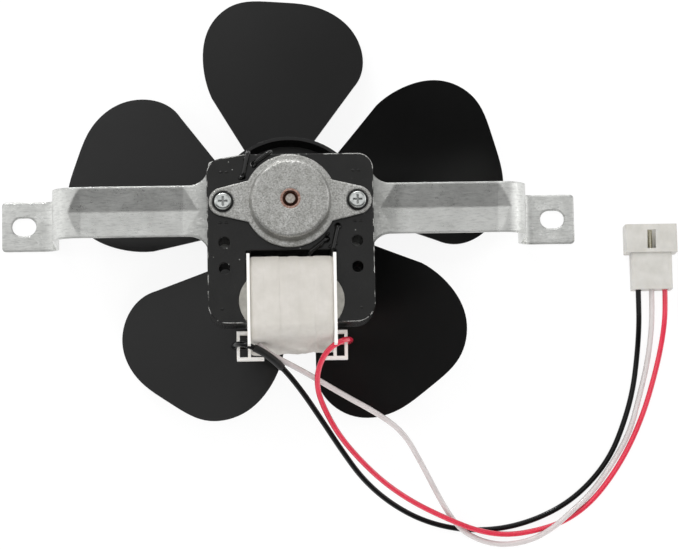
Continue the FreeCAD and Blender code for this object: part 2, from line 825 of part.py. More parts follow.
def make_bearing_end(end):
    """One cap with its bronze bush, its oil felt and the spring disc that holds the felt."""
    height, boss_start = size("cap_height"), size("cap_height") - size("bearing_length")
    roof = height - size("cap_wall")
    shaft_bore = size("shaft_radius") + size("running_clearance")
    boss = size("bearing_boss_radius")
    felt_low = roof - size("felt_thickness")
    pieces = [make_cap(f"{end}_bearing_cap")]
    pieces.append(turned(f"{end}_bearing", [
        (shaft_bore, boss_start),
        (size("bearing_radius"), boss_start),
        (size("bearing_radius"), height),
        (size("bearing_mouth_radius"), height),
        (size("bearing_mouth_radius"), height - size("bearing_mouth_depth")),
        (shaft_bore, height - size("bearing_mouth_depth")),
    ]))
    pieces.append(turned(f"{end}_oil_felt", ring_profile(boss, size("felt_radius"), felt_low, roof)))
    pieces.append(turned(f"{end}_felt_retainer", ring_profile(
        boss, size("retainer_radius"), felt_low - size("retainer_sheet"), felt_low)))
    for piece in pieces:
        if end == "rear":
            bind(piece, "Placement.Base.z", stack_rear)
        else:
            turn_over(piece)


make_bearing_end("rear")
make_bearing_end("front")


# Rotor: a steel core with an aluminium cage cast round it, pressed on the shaft. A washer at each
# end takes the thrust against the bush.
def make_rotor():
    core_radius = size("rotor_bore_radius") - size("air_gap")
    shaft, ring = size("shaft_radius"), size("end_ring_width")
    bar_circle = core_radius - ring / 2
    bars = int(number("cage_bars"))
    angles = [2 * math.pi * index / bars for index in range(bars)]
    core = turned("rotor_core", ring_profile(shaft, core_radius, stack_front, stack_rear))
    slots = new_sketch(core, "bar_slots", "XY_Plane", stack_rear)
    bar_centres = [(bar_circle * math.cos(angle), bar_circle * math.sin(angle)) for angle in angles]
    for x, y in bar_centres:
        draw_circle(slots, x, y, size("cage_bar_radius"))
    pocket(core, slots, size("stack_thickness"))
    outer = core_radius - size("air_gap")
    cage = turned("rotor_cage", ring_profile(outer - ring, outer, stack_front - size("end_ring_height"),
                                             stack_front))
    bar_sketch = new_sketch(cage, "bars", "XY_Plane", stack_front)
    for x, y in bar_centres:
        draw_circle(bar_sketch, x, y, size("cage_bar_radius"))
    pad(cage, bar_sketch, size("stack_thickness"))
    rear_ring = new_sketch(cage, "rear_ring", "XY_Plane", stack_rear)
    draw_circle(rear_ring, 0, 0, outer)
    draw_circle(rear_ring, 0, 0, outer - ring)
    pad(cage, rear_ring, size("end_ring_height"))
    shaft_end = stack_rear + size("cap_height") - size("shaft_recess")
    body = turned("motor_shaft", [(0, size("hub_floor_height")), (shaft, size("hub_floor_height")),
                                  (shaft, shaft_end), (0, shaft_end)])
    round_edges(body, size("shaft_recess"), lambda edge: is_circle(edge, shaft.value))
    bore = shaft + size("running_clearance")
    radius, gap = size("thrust_washer_radius"), size("cap_height") - size("bearing_length")
    for label, face, way in (("rear", stack_rear, 1), ("front", stack_front, -1)):
        near_bush = face + (gap - size("air_gap") / 2) * way
        far = near_bush - size("thrust_washer_sheet") * way
        turned(f"{label}_thrust_washer", ring_profile(bore, radius, near_bush, far))


make_rotor()


# Fan: one black polypropylene moulding, a cup-shaped hub with five twisted blades. A spring clip
# grips the hub's boss on the shaft.
def blade_surface_height(across, out):
    """Height of the blade's middle surface at a place across the blade and out from the axis."""
    reach = number("fan_radius")
    outward = out - BLADE_DATUM * reach
    pitch = math.tan(math.radians(number("blade_pitch_degrees")))
    height = number("blade_height") - pitch * across + number("blade_camber_ratio") * across ** 2 / reach
    height -= number("blade_twist_ratio") * across * outward / reach
    return height - number("blade_cone_ratio") * outward + number("blade_dish_ratio") * outward ** 2 / reach


# Where the blade has its stated pitch, as a share of the way out to the tip.
BLADE_DATUM = 0.6685

# The blade's edge, across and out from the axis, where the tip's radius is 1. The straight edges
# run from the hub to the first and last points, and the curve is smooth between them.
BLADE_ROOT = ((0.080, 0.275), (-0.155, 0.255))
BLADE_EDGE = (
    (0.335, 0.599),
    (0.387, 0.722),
    (0.336, 0.884),
    (0.178, 0.984),
    (0.000, 1.000),
    (-0.184, 0.983),
    (-0.307, 0.876),
    (-0.348, 0.707),
    (-0.318, 0.549),
)


def make_blade():
    """One blade, pointing along +Y: a slab of even thickness trimmed to the blade's edge."""
    reach = number("fan_radius")
    edge = [FreeCAD.Vector(x * reach, y * reach, 0) for x, y in BLADE_EDGE]
    roots = [FreeCAD.Vector(x * reach, y * reach, 0) for x, y in BLADE_ROOT]
    curve = Part.BSplineCurve()
    curve.interpolate(edge)
    wire = Part.Wire([Part.makeLine(roots[0], edge[0]), curve.toShape(), Part.makeLine(edge[-1], roots[1]),
                      Part.makeLine(roots[1], roots[0])])
    trim = Part.Face(wire).extrude(FreeCAD.Vector(0, 0, reach))
    grid = []
    for across in (-0.5, -0.25, 0, 0.25, 0.5):
        row = []
        for out in (0.2, 0.42, 0.64, 0.86, 1.08):
            height = blade_surface_height(across * reach, out * reach) - number("blade_thickness") / 2
            row.append(FreeCAD.Vector(across * reach, out * reach, height))
        grid.append(row)
    surface = Part.BSplineSurface()
    surface.interpolate(grid)
    slab = surface.toShape().extrude(FreeCAD.Vector(0, 0, number("blade_thickness")))
    return slab.common(trim)


def make_hub():
    """Hub turned from its section: floor, wall with draft, and the boss on the shaft."""
    radius, wall, draft = number("hub_radius"), number("hub_wall"), number("hub_taper_width")
    low, floor, rim = number("hub_floor_height"), number("hub_floor"), number("hub_rim_height")
    bore, boss, boss_top = number("shaft_radius"), number("hub_boss_radius"), number("hub_boss_height")
    section = [
        (bore, low), (radius - draft, low), (radius, rim), (radius - wall, rim),
        (radius - wall - draft, low + floor), (boss, low + floor), (boss, boss_top), (bore, boss_top),
    ]
    points = [FreeCAD.Vector(r, 0, z) for r, z in section]
    face = Part.Face(Part.makePolygon(points + points[:1]))
    hub = face.revolve(FreeCAD.Vector(0, 0, 0), FreeCAD.Vector(0, 0, 1), 360)
    rounded = [edge for edge in hub.Edges if is_circle(edge, radius - draft)
               and near(edge.Curve.Center.z, low)]
    return hub.makeFillet(number("hub_edge_round"), rounded)


def make_fan():
    inside = number("hub_radius") - number("hub_wall") * 0.75
    core = Part.makeCylinder(inside, number("fan_radius"))
    blade = make_blade().cut(core)
    axis = FreeCAD.Vector(0, 0, 1)
    count = int(number("blade_count"))
    blades = []
    for index in range(count):
        copy = blade.copy()
        copy.rotate(FreeCAD.Vector(0, 0, 0), axis, number("fan_turn_degrees") + 360 / count * index)
        blades.append(copy)
    fan = make_hub().multiFuse(blades)
    new_feature("fan", fan.Solids[0])
    boss, sheet_thickness = size("hub_boss_radius"), size("clip_sheet")
    turned("fan_clip", ring_profile(boss, boss + sheet_thickness, size("clip_height"),
                                    size("clip_height") + size("clip_width")))


make_fan()


# Through screws with their washers and nuts, one set at each ear of the caps.
def make_fastener_set(side, way):
    x = size("screw_spread") / 2 * way
    seat = stack_rear + size("cap_flange") - size("screw_recess_depth")
    head = seat + size("washer_sheet")
    nut_top = bracket_top - size("bracket_sheet")
    nut_low = nut_top - size("nut_height")
    washer = turned(f"washer_{side}", ring_profile(size("screw_hole_radius"), size("washer_radius"),
                                                   seat, head))
    top = head + size("screw_head_height")
    shank, head_radius = size("screw_radius"), size("screw_head_radius")
    screw = turned(f"screw_{side}", [(0, nut_low), (shank, nut_low), (shank, head), (head_radius, head),
                                     (head_radius, top), (0, top)])
    round_edges(screw, size("screw_head_height") * 0.6, lambda edge: is_circle(edge, head_radius.value)
                and near(edge.Curve.Center.z, top))
    cross = new_sketch(screw, "cross", "XY_Plane", top)
    arm, slot = head_radius * 0.55, head_radius * 0.13
    draw_outline(cross, [(-arm, -slot), (-slot, -slot), (-slot, -arm), (slot, -arm), (slot, -slot),
                         (arm, -slot), (arm, slot), (slot, slot), (slot, arm), (-slot, arm),
                         (-slot, slot), (-arm, slot)])
    pocket(screw, cross, size("screw_head_height") * 0.7)
    nut = new_body(f"nut_{side}")
    outline = new_sketch(nut, "outline", "XY_Plane", nut_low)
    corner = size("nut_flats") / 2 / math.cos(math.pi / 6)
    turns = [math.pi / 3 * index for index in range(6)]
    draw_outline(outline, [(corner * math.cos(turn), corner * math.sin(turn)) for turn in turns])
    pad(nut, outline, size("nut_height"))
    bore = new_sketch(nut, "bore", "XY_Plane", nut_top)
    draw_circle(bore, 0, 0, shank)
    pocket(nut, bore, size("nut_height"))
    for piece in (washer, screw, nut):
        bind(piece, "Placement.Base.x", x)


make_fastener_set("left", -1)
make_fastener_set("right", 1)


# Plug: a natural nylon housing with a wide hood round three pins. The leads enter its back.
def make_plug():
    centre, middle = size("plug_centre"), plug_middle
    body = new_body("plug_housing")
    half, thick = size("plug_body_width") / 2, size("plug_body_thickness") / 2
    back, shoulder, mouth = size("plug_body_start"), size("plug_body_end"), size("hood_end")
    block = new_sketch(body, "block", "XZ_Plane", shoulder)
    draw_outline(block, [(-half, middle - thick), (half, middle - thick), (half, middle + thick),
                         (-half, middle + thick)])
    pad(body, block, back - shoulder)
    wide, tall = size("hood_width") / 2, size("hood_thickness") / 2
    hood = new_sketch(body, "hood", "XZ_Plane", mouth)
    draw_outline(hood, [(-wide, middle - tall), (wide, middle - tall), (wide, middle + tall),
                        (-wide, middle + tall)])
    pad(body, hood, shoulder - mouth)
    round_edges(body, size("hood_wall") * 0.6, lambda edge: len(edge.Vertexes) == 2
                and near(edge.Vertexes[0].X, edge.Vertexes[1].X)
                and near(edge.Vertexes[0].Z, edge.Vertexes[1].Z))
    wall = size("hood_wall")
    cavity = new_sketch(body, "cavity", "XZ_Plane", shoulder - wall)
    draw_outline(cavity, [(wall - wide, middle - tall + wall), (wide - wall, middle - tall + wall),
                          (wide - wall, middle + tall - wall), (wall - wide, middle + tall - wall)])
    pocket(body, cavity, shoulder - wall - mouth)
    entries = new_sketch(body, "lead_entries", "XZ_Plane", back)
    for step in (-1, 0, 1):
        draw_circle(entries, size("contact_pitch") * step, middle, size("lead_entry_radius"))
    pocket(body, entries, size("lead_entry_depth"))
    window = new_sketch(body, "window", "XY_Plane", middle + tall)
    side, length = size("plug_window_width") / 2, size("plug_window_length")
    start = -(mouth + wall * 2)
    draw_outline(window, [(-side, start - length), (side, start - length), (side, start), (-side, start)])
    pocket(body, window, wall)
    bind(body, "Placement.Base.x", centre)
    for step, name in ((-1, "left"), (0, "middle"), (1, "right")):
        pin = doc.addObject("Part::Cylinder", f"plug_contact_{name}")
        pin.Label = f"plug_contact_{name}"
        bind(pin, "Radius", size("contact_radius"))
        bind(pin, "Height", shoulder - wall - mouth - size("contact_recess"))
        pin.Placement.Rotation = FreeCAD.Rotation(FreeCAD.Vector(1, 0, 0), -90)
        bind(pin, "Placement.Base.x", centre + size("contact_pitch") * step)
        bind(pin, "Placement.Base.y", -(shoulder - wall))
        bind(pin, "Placement.Base.z", middle)
        kept.append(pin)


make_plug()

# Leads: stranded wire in a soft cover. Each list runs from the coil to the plug: hooked round its
# terminal frame, over the fan's edge, down to the table and along it into the plug.
BLACK_ROUTE = (
    (-21.9, -69.8, 56.7), (-28.9, -69.9, 56.9), (-29.0, -69.8, 70.0), (-24.4, -69.8, 77.8),
    (-15.6, -73.2, 77.2), (-6.0, -80.0, 70.5), (4.0, -91.5, 61.0), (13.7, -105.2, 50.9),
    (24.7, -120.7, 38.9), (35.9, -133.6, 26.0), (50.0, -144.5, 13.0), (67.0, -153.5, 3.9),
    (86.0, -158.8, 1.6), (106.0, -159.3, 1.6), (124.0, -155.2, 1.6), (140.0, -147.4, 1.6),
    (153.3, -136.2, 1.6), (163.8, -122.6, 1.6), (170.9, -106.2, 1.6), (176.0, -89.5, 1.6),
    (178.7, -71.0, 2.4), (179.7, -56.0, 5.6), (179.75, -44.0, 6.3),
)
WHITE_ROUTE = (
    (-16.6, -69.6, 74.0), (-15.6, -75.6, 70.8), (-5.5, -79.2, 65.5), (9.5, -85.0, 57.0),
    (26.0, -94.5, 49.5), (40.5, -103.5, 43.0), (53.5, -112.8, 32.0), (64.5, -128.0, 18.0),
    (73.3, -141.5, 9.0), (79.5, -152.2, 5.4), (86.0, -160.6, 5.0), (96.5, -166.0, 1.8),
    (108.0, -168.0, 1.6), (121.5, -165.8, 1.8), (132.5, -159.8, 4.9), (140.0, -153.4, 5.0),
    (152.5, -142.8, 1.8), (163.8, -127.8, 1.6), (173.5, -111.8, 1.6), (178.8, -94.3, 1.6),
    (183.5, -77.0, 2.2), (186.0, -60.0, 5.4), (186.65, -45.0, 6.3),
)
RED_ROUTE = (
    (21.9, -67.6, 56.7), (28.9, -67.7, 56.9), (29.0, -67.6, 70.0), (24.4, -68.8, 77.8),
    (17.0, -73.3, 75.8), (12.5, -81.5, 69.5), (11.8, -90.5, 61.0), (15.1, -99.8, 53.1),
    (22.3, -112.6, 45.1), (33.1, -124.8, 34.1), (45.8, -136.0, 21.0), (60.3, -145.5, 12.0),
    (77.3, -154.0, 9.3), (94.5, -161.0, 6.3), (110.0, -163.0, 1.8), (126.0, -160.5, 1.6),
    (139.8, -156.0, 1.6), (152.4, -147.2, 1.6), (163.7, -133.9, 1.6), (173.5, -118.2, 1.6),
    (181.4, -100.7, 1.6), (187.0, -83.5, 1.6), (191.0, -68.0, 2.6), (193.0, -55.0, 5.6),
    (193.55, -44.0, 6.3),
)

# Share of the shorter run beside a corner that the corner's arc takes.
ARC_SHARE = 0.45


def arc_radius(before, corner, after):
    """The largest bend that two runs leave room for."""
    back, ahead = before - corner, after - corner
    half_turn = (math.pi - back.getAngle(ahead)) / 2
    return ARC_SHARE * min(back.Length, ahead.Length) / math.tan(half_turn)


def make_lead(label, route, step):
    radius = number("lead_radius")
    end_x = number("plug_centre") + number("contact_pitch") * step
    plug_seat = vector(end_x, -(number("plug_body_start") - number("lead_entry_depth")), plug_middle)
    points = [vector(*place) for place in route] + [plug_seat]
    bends = [arc_radius(*points[index - 1:index + 2]) for index in range(1, len(points) - 1)]
    tube, length = tube_along(points, radius, bends)
    expected = math.pi * radius ** 2 * length
    if abs(tube.Volume / expected - 1) > 0.005:
        raise RuntimeError(f"{label} has volume {tube.Volume:.0f}, not {expected:.0f}")
    print(f"{label}: {length:.0f} mm long, radii {' '.join(f'{bend:.0f}' for bend in bends)}")
    new_feature(label, tube)


make_lead("black_lead", BLACK_ROUTE, -1)
make_lead("white_lead", WHITE_ROUTE, 0)
make_lead("red_lead", RED_ROUTE, 1)

# Every object has to be sound before anything is written.
doc.recompute()
for item in doc.Objects:
    if "Invalid" in item.State or "Error" in item.State:
        raise RuntimeError(f"{item.Name} did not build: {item.State}")
for piece in kept:
    if piece.Shape.isNull() or not piece.Shape.isValid():
        raise RuntimeError(f"{piece.Label} has no valid shape")

os.makedirs("parts", exist_ok=True)
for piece in kept:
    piece.Shape.exportStep(os.path.join("parts", f"{piece.Label}.step"))
    print(f"{piece.Label}: {len(piece.Shape.Solids)} solid, {piece.Shape.Volume:.0f} mm3")
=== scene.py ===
import math

import bmesh
import bpy
from mathutils import Euler, Matrix, Vector, noise


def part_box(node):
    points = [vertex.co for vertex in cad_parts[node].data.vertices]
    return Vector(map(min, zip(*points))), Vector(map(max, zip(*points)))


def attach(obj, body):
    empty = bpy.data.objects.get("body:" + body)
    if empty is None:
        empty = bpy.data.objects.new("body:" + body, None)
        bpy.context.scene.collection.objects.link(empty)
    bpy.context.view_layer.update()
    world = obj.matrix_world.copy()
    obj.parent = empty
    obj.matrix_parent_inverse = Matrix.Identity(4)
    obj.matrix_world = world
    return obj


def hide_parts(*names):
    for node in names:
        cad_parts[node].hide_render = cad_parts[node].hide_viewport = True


# A range hood fan motor on a white table, with its rear cap up and its fan underneath: a
# shaded-pole motor on a hat-shaped bracket, a five-blade fan and three leads to a plug.
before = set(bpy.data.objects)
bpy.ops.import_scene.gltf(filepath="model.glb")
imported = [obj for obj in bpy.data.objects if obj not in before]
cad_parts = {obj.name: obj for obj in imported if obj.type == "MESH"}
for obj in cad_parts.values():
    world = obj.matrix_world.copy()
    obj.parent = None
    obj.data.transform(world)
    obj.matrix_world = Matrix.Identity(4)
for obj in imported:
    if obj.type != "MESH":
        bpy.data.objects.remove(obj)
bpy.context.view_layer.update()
scene = bpy.context.scene

# The camera looks down at the motor from 1.5 m with a long lens, a little from below the
# picture's middle, so the nearer side of each piece shows.
CAMERA_PLACE = Vector((-0.0174, -0.2170, 1.5398))
CAMERA_TURN_DEGREES = (7.053, -1.477, -1.057)
LENS_MM = 159.06
SENSOR_MM = 36.0

camera_data = bpy.data.cameras.new("camera")
camera_data.lens = LENS_MM
camera_data.sensor_width = SENSOR_MM
camera = bpy.data.objects.new("camera", camera_data)
camera_turn = Euler([math.radians(angle) for angle in CAMERA_TURN_DEGREES]).to_matrix().to_4x4()
camera.matrix_world = Matrix.Translation(CAMERA_PLACE) @ camera_turn
scene.collection.objects.link(camera)
scene.camera = camera
scene.view_settings.view_transform = "Standard"


# The room is a white table under soft lamps, with most of the light from beyond the picture's top
# left. Shiny faces mirror a bright ceiling that darkens towards the picture's bottom.
WHITE_LEVEL = 1.0
AMBIENT_LEVEL = 0.5
# how far towards the picture's top a mirrored ray points, and how bright the room is there
CEILING_BY_HEIGHT = (
    (-0.9, 0.6), (-0.62, 0.14), (-0.45, 0.04), (-0.28, 0.14), (-0.12, 0.4), (0.02, 0.86),
    (0.14, 1.02), (0.4, 0.66), (0.7, 0.58), (0.84, 0.6), (0.97, 3.0),
)
# how far to the picture's right it points, and the factor on that brightness
CEILING_BY_SIDE = (
    (-0.95, 1.35), (-0.75, 1.15), (-0.45, 1.15), (0.0, 1.0), (0.35, 0.76), (0.58, 0.7),
    (0.8, 1.1), (0.95, 1.8),
)
# A ramp's colours end at 1, so the levels are stored as shares of this one.
BRIGHTEST = 4.0


def linear(code):
    """An sRGB hex colour as the linear values that a shader takes."""
    parts = [int(code[i:i + 2], 16) / 255 for i in (1, 3, 5)]
    return [p / 12.92 if p <= 0.04045 else ((p + 0.055) / 1.055) ** 2.4 for p in parts] + [1.0]


def add_node(tree, kind, inputs=None, **settings):
    """Adds one node. An input is a plain value, or the output of another node to link from."""
    node = tree.nodes.new(kind)
    for name, value in settings.items():
        setattr(node, name, value)
    for key, value in (inputs or {}).items():
        if isinstance(value, bpy.types.NodeSocket):
            tree.links.new(value, node.inputs[key])
        else:
            node.inputs[key].default_value = value
    return node


world = bpy.data.worlds.new("room")
world.use_nodes = True
scene.world = world
tree = world.node_tree
tree.nodes.clear()
rays = add_node(tree, "ShaderNodeLightPath")
direction = add_node(tree, "ShaderNodeTexCoord")
heading = add_node(tree, "ShaderNodeSeparateXYZ", {"Vector": direction.outputs["Generated"]})
levels = []
for axis, stops in (("Y", CEILING_BY_HEIGHT), ("X", CEILING_BY_SIDE)):
    along = add_node(tree, "ShaderNodeMapRange", {
        "Value": heading.outputs[axis], "From Min": -1.0, "From Max": 1.0})
    ramp = add_node(tree, "ShaderNodeValToRGB", {"Fac": along.outputs["Result"]})
    ramp.color_ramp.interpolation = "EASE"
    marks = ramp.color_ramp.elements
    marks.remove(marks[1])
    marks[0].position = (stops[0][0] + 1) / 2
    for place, _ in stops[1:]:
        marks.new((place + 1) / 2)
    for mark, (_, level) in zip(marks, stops):
        mark.color = (level / BRIGHTEST, level / BRIGHTEST, level / BRIGHTEST, 1.0)
    brightness = add_node(tree, "ShaderNodeMath", {
        0: ramp.outputs["Color"], 1: BRIGHTEST}, operation="MULTIPLY")
    levels.append(brightness.outputs[0])
mirrored = add_node(tree, "ShaderNodeMath", {0: levels[0], 1: levels[1]}, operation="MULTIPLY")
seen_white = add_node(tree, "ShaderNodeMath", {
    0: rays.outputs["Is Camera Ray"], 1: rays.outputs["Is Transmission Ray"]}, operation="MAXIMUM")
soft_level = add_node(tree, "ShaderNodeMix", {
    0: rays.outputs["Is Glossy Ray"], 2: AMBIENT_LEVEL, 3: mirrored.outputs[0]}, data_type="FLOAT")
room_level = add_node(tree, "ShaderNodeMix", {
    0: seen_white.outputs[0], 2: soft_level.outputs[0], 3: WHITE_LEVEL}, data_type="FLOAT")
background = add_node(tree, "ShaderNodeBackground", {
    "Color": linear("#ffffff"), "Strength": room_level.outputs[0]})
add_node(tree, "ShaderNodeOutputWorld", {"Surface": background.outputs[0]})

# name, place, size, watts, and whether shiny faces mirror the lamp
LAMPS = (
    ("key_lamp", (-0.55, 1.15, 1.15), 1.0, 9.0, False),
    ("left_lamp", (-1.35, 0.25, 0.95), 0.9, 5.0, False),
    ("right_lamp", (1.35, 0.35, 0.95), 0.8, 4.0, False),
    ("top_lamp", (0.0, -0.1, 1.9), 0.5, 3.0, False),
    ("near_lamp", (0.1, -1.3, 0.8), 1.0, 6.5, False),
    ("glint_lamp", (-0.5, 1.6, 0.7), 0.16, 4.0, True),
)
LAMP_AIM = Vector((0.0, 0.0, 0.04))
for name, place, size, watts, mirrors in LAMPS:
    lamp_data = bpy.data.lights.new(name, "AREA")
    lamp_data.shape = "DISK"
    lamp_data.size = size
    lamp_data.energy = watts
    lamp = bpy.data.objects.new(name, lamp_data)
    lamp.location = place
    lamp.rotation_euler = (LAMP_AIM - Vector(place)).to_track_quat("-Z", "Y").to_euler()
    lamp.visible_glossy = mirrors
    scene.collection.objects.link(lamp)

# The table lies a hair below the part. It glows where a ray looks straight at it, so it comes out
# white, and its paper keeps a share of the soft shadows.
TABLE_SIZE = 4.0
TABLE_DROP = 0.0004
TABLE_GLOW = 1.06
SHADOW_SHARE = 0.17
corner = TABLE_SIZE / 2
table_corners = [(x, y, -TABLE_DROP)
                 for x, y in ((-corner, -corner), (corner, -corner), (corner, corner), (-corner, corner))]
table_mesh = bpy.data.meshes.new("table")
table_mesh.from_pydata(table_corners, [], [(0, 1, 2, 3)])
table = bpy.data.objects.new("table", table_mesh)
scene.collection.objects.link(table)
table_finish = bpy.data.materials.new("white_table")
table_finish.use_nodes = True
tree = table_finish.node_tree
tree.nodes.clear()
rays = add_node(tree, "ShaderNodeLightPath")
looked_at = rays.outputs["Is Camera Ray"]
for kind in ("Is Glossy Ray", "Is Transmission Ray"):
    either = add_node(tree, "ShaderNodeMath", {0: looked_at, 1: rays.outputs[kind]}, operation="MAXIMUM")
    looked_at = either.outputs[0]
seen = add_node(tree, "ShaderNodeMath", {0: looked_at, 1: 1.0 - SHADOW_SHARE}, operation="MULTIPLY")
paper = add_node(tree, "ShaderNodeBsdfDiffuse", {"Color": linear("#f7f7f7")})
glow = add_node(tree, "ShaderNodeEmission", {"Color": linear("#ffffff"), "Strength": TABLE_GLOW})
mixed = add_node(tree, "ShaderNodeMixShader", {0: seen.outputs[0], 1: paper.outputs[0], 2: glow.outputs[0]})
add_node(tree, "ShaderNodeOutputMaterial", {"Surface": mixed.outputs[0]})
table_mesh.materials.append(table_finish)


# The mounting bracket is galvanised steel sheet, cut and folded to a hat in a press. Everything
# else hangs on it, and two screws through its ears hold the motor in the hood.
def make_finish(name, tones, patch_mm, grain_mm, grain_depth_mm, roughness, roughness_spread=0.06,
                edge_mm=0.0, **shader):
    """A material that drifts between two tones in patches, with a fine grain in its surface."""
    material = bpy.data.materials.new(name)
    material.use_nodes = True
    tree = material.node_tree
    tree.nodes.clear()
    place = add_node(tree, "ShaderNodeTexCoord")
    place.name = "place"
    patches = add_node(tree, "ShaderNodeTexNoise", {
        "Vector": place.outputs["Object"], "Scale": 1000 / patch_mm, "Detail": 4.0, "Roughness": 0.6})
    share = add_node(tree, "ShaderNodeMapRange", {
        "Value": patches.outputs[0], "From Min": 0.35, "From Max": 0.65})
    tone = add_node(tree, "ShaderNodeMix", {
        0: share.outputs[0], 6: linear(tones[0]), 7: linear(tones[1])}, data_type="RGBA")
    tone.name = "tone"
    grain = add_node(tree, "ShaderNodeTexNoise", {
        "Vector": place.outputs["Object"], "Scale": 1000 / grain_mm, "Detail": 3.0, "Roughness": 0.55})
    gloss = add_node(tree, "ShaderNodeMapRange", {
        "Value": grain.outputs[0], "From Min": 0.3, "From Max": 0.7,
        "To Min": roughness - roughness_spread, "To Max": roughness + roughness_spread})
    gloss.name = "gloss"
    bump = add_node(tree, "ShaderNodeBump", {
        "Height": grain.outputs[0], "Distance": grain_depth_mm / 1000, "Strength": 1.0})
    bump.name = "bump"
    if edge_mm:
        soft_edge = add_node(tree, "ShaderNodeBevel", {"Radius": edge_mm / 1000}, samples=4)
        soft_edge.name = "soft_edge"
        tree.links.new(soft_edge.outputs[0], bump.inputs["Normal"])
    surface = add_node(tree, "ShaderNodeBsdfPrincipled", {
        "Base Color": tone.outputs[2], "Roughness": gloss.outputs[0], "Normal": bump.outputs[0]})
    surface.name = "surface"
    for socket, value in shader.items():
        surface.inputs[socket.replace("_", " ")].default_value = value
    add_node(tree, "ShaderNodeOutputMaterial", {"Surface": surface.outputs[0]})
    return material


def dress(material, *names):
    """Gives a material to CAD nodes that keep their own shape."""
    for name in names:
        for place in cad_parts[name].material_slots:
            place.material = material


# Hot-dip zinc gives the sheet a mottled silvery sheen. Its crystals reflect a little differently
# from each other, and the folding tool has left short darker scuffs along the arms.
SPANGLE_MM = 5.0
SPANGLE_GLOSS_SHIFT = 0.05
SCUFF_MM = 0.9
ALONG_ARMS = (0.22, 1.0, 0.22)
galvanised = make_finish(
    "galvanised_sheet", ("#d6d7d4", "#e7e8e5"), patch_mm=16.0, grain_mm=0.9, grain_depth_mm=0.03,
    roughness=0.36, roughness_spread=0.08, edge_mm=1.7, Metallic=1.0)
tree = galvanised.node_tree
place = tree.nodes["place"].outputs["Object"]
spangle = add_node(tree, "ShaderNodeTexVoronoi", {
    "Vector": place, "Scale": 1000 / SPANGLE_MM, "Randomness": 1.0})
spangle_tone = add_node(tree, "ShaderNodeSeparateColor", {"Color": spangle.outputs["Color"]})
spangle_shift = add_node(tree, "ShaderNodeMapRange", {
    "Value": spangle_tone.outputs[0], "To Min": -SPANGLE_GLOSS_SHIFT, "To Max": SPANGLE_GLOSS_SHIFT})
spangled_gloss = add_node(tree, "ShaderNodeMath", {
    0: tree.nodes["gloss"].outputs[0], 1: spangle_shift.outputs[0]}, operation="ADD")
tree.links.new(spangled_gloss.outputs[0], tree.nodes["surface"].inputs["Roughness"])
stretched = add_node(tree, "ShaderNodeMapping", {"Vector": place, "Scale": ALONG_ARMS})
scuffs = add_node(tree, "ShaderNodeTexNoise", {
    "Vector": stretched.outputs[0], "Scale": 1000 / SCUFF_MM, "Detail": 6.0, "Roughness": 0.75})
scuff_share = add_node(tree, "ShaderNodeMapRange", {
    "Value": scuffs.outputs[0], "From Min": 0.48, "From Max": 0.7, "To Max": 0.55})
scuffed = add_node(tree, "ShaderNodeMix", {
    0: scuff_share.outputs[0], 6: tree.nodes["tone"].outputs[2], 7: linear("#9b9c9a")}, data_type="RGBA")

# Beside the stack the sheet is painted darker as the stack's shade, most of all on the right.
STACK_SHADE_REACH_MM = (45.0, 60.0)
STACK_SHADE_RIGHT = 0.4
STACK_SHADE_LEFT = 0.1
sheet_place = add_node(tree, "ShaderNodeSeparateXYZ", {"Vector": place})
outwards = add_node(tree, "ShaderNodeMath", {0: sheet_place.outputs["X"]}, operation="ABSOLUTE")
on_right = add_node(tree, "ShaderNodeMath", {0: sheet_place.outputs["X"], 1: 0.0}, operation="GREATER_THAN")
stack_shade_share = add_node(tree, "ShaderNodeMapRange", {
    "Value": on_right.outputs[0], "To Min": STACK_SHADE_LEFT, "To Max": STACK_SHADE_RIGHT})
stack_shade = add_node(tree, "ShaderNodeMapRange", {
    "Value": outwards.outputs[0], "From Min": STACK_SHADE_REACH_MM[0] / 1000, "From Max": STACK_SHADE_REACH_MM[1] / 1000,
    "To Min": stack_shade_share.outputs[0], "To Max": 0.0}, interpolation_type="SMOOTHSTEP")
# painted shade: the sheet's tone is mixed towards this dark grey beside the stack
stack_shaded = add_node(tree, "ShaderNodeMix", {
    0: stack_shade.outputs[0], 6: scuffed.outputs[2], 7: linear("#8b8c87")}, data_type="RGBA")
tree.links.new(stack_shaded.outputs[2], tree.nodes["surface"].inputs["Base Color"])

# The mill's rolling lines are about a tenth of this width, too fine to show, so they are coarser.
ROLLING_LINE_MM = 0.5
ROLLING_LINE_DEPTH = 0.00003
ALONG_STRIP = (0.03, 1.0, 0.03)
rolled = add_node(tree, "ShaderNodeMapping", {"Vector": place, "Scale": ALONG_STRIP})
lines = add_node(tree, "ShaderNodeTexNoise", {
    "Vector": rolled.outputs[0], "Scale": 1000 / ROLLING_LINE_MM, "Detail": 2.0})
line_bump = add_node(tree, "ShaderNodeBump", {
    "Height": lines.outputs[0], "Distance": ROLLING_LINE_DEPTH, "Strength": 0.7,
    "Normal": tree.nodes["bump"].outputs[0]})
tree.links.new(line_bump.outputs[0], tree.nodes["surface"].inputs["Normal"])
dress(galvanised, "mounting_bracket")


# The stator stack is some fifty steel laminations, locked together by pressed dimples and dipped in
# black lacquer. The caps' two screws clamp it on the bracket's centre plate.
STACK_LOW, STACK_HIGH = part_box("stator_stack")
STACK_FRONT, STACK_REAR = STACK_LOW[2], STACK_HIGH[2]

# The lacquer is satin black. It is rubbed off the stack's corners in broken lines of grey steel.
WEAR_PATCH_MM = 5.0
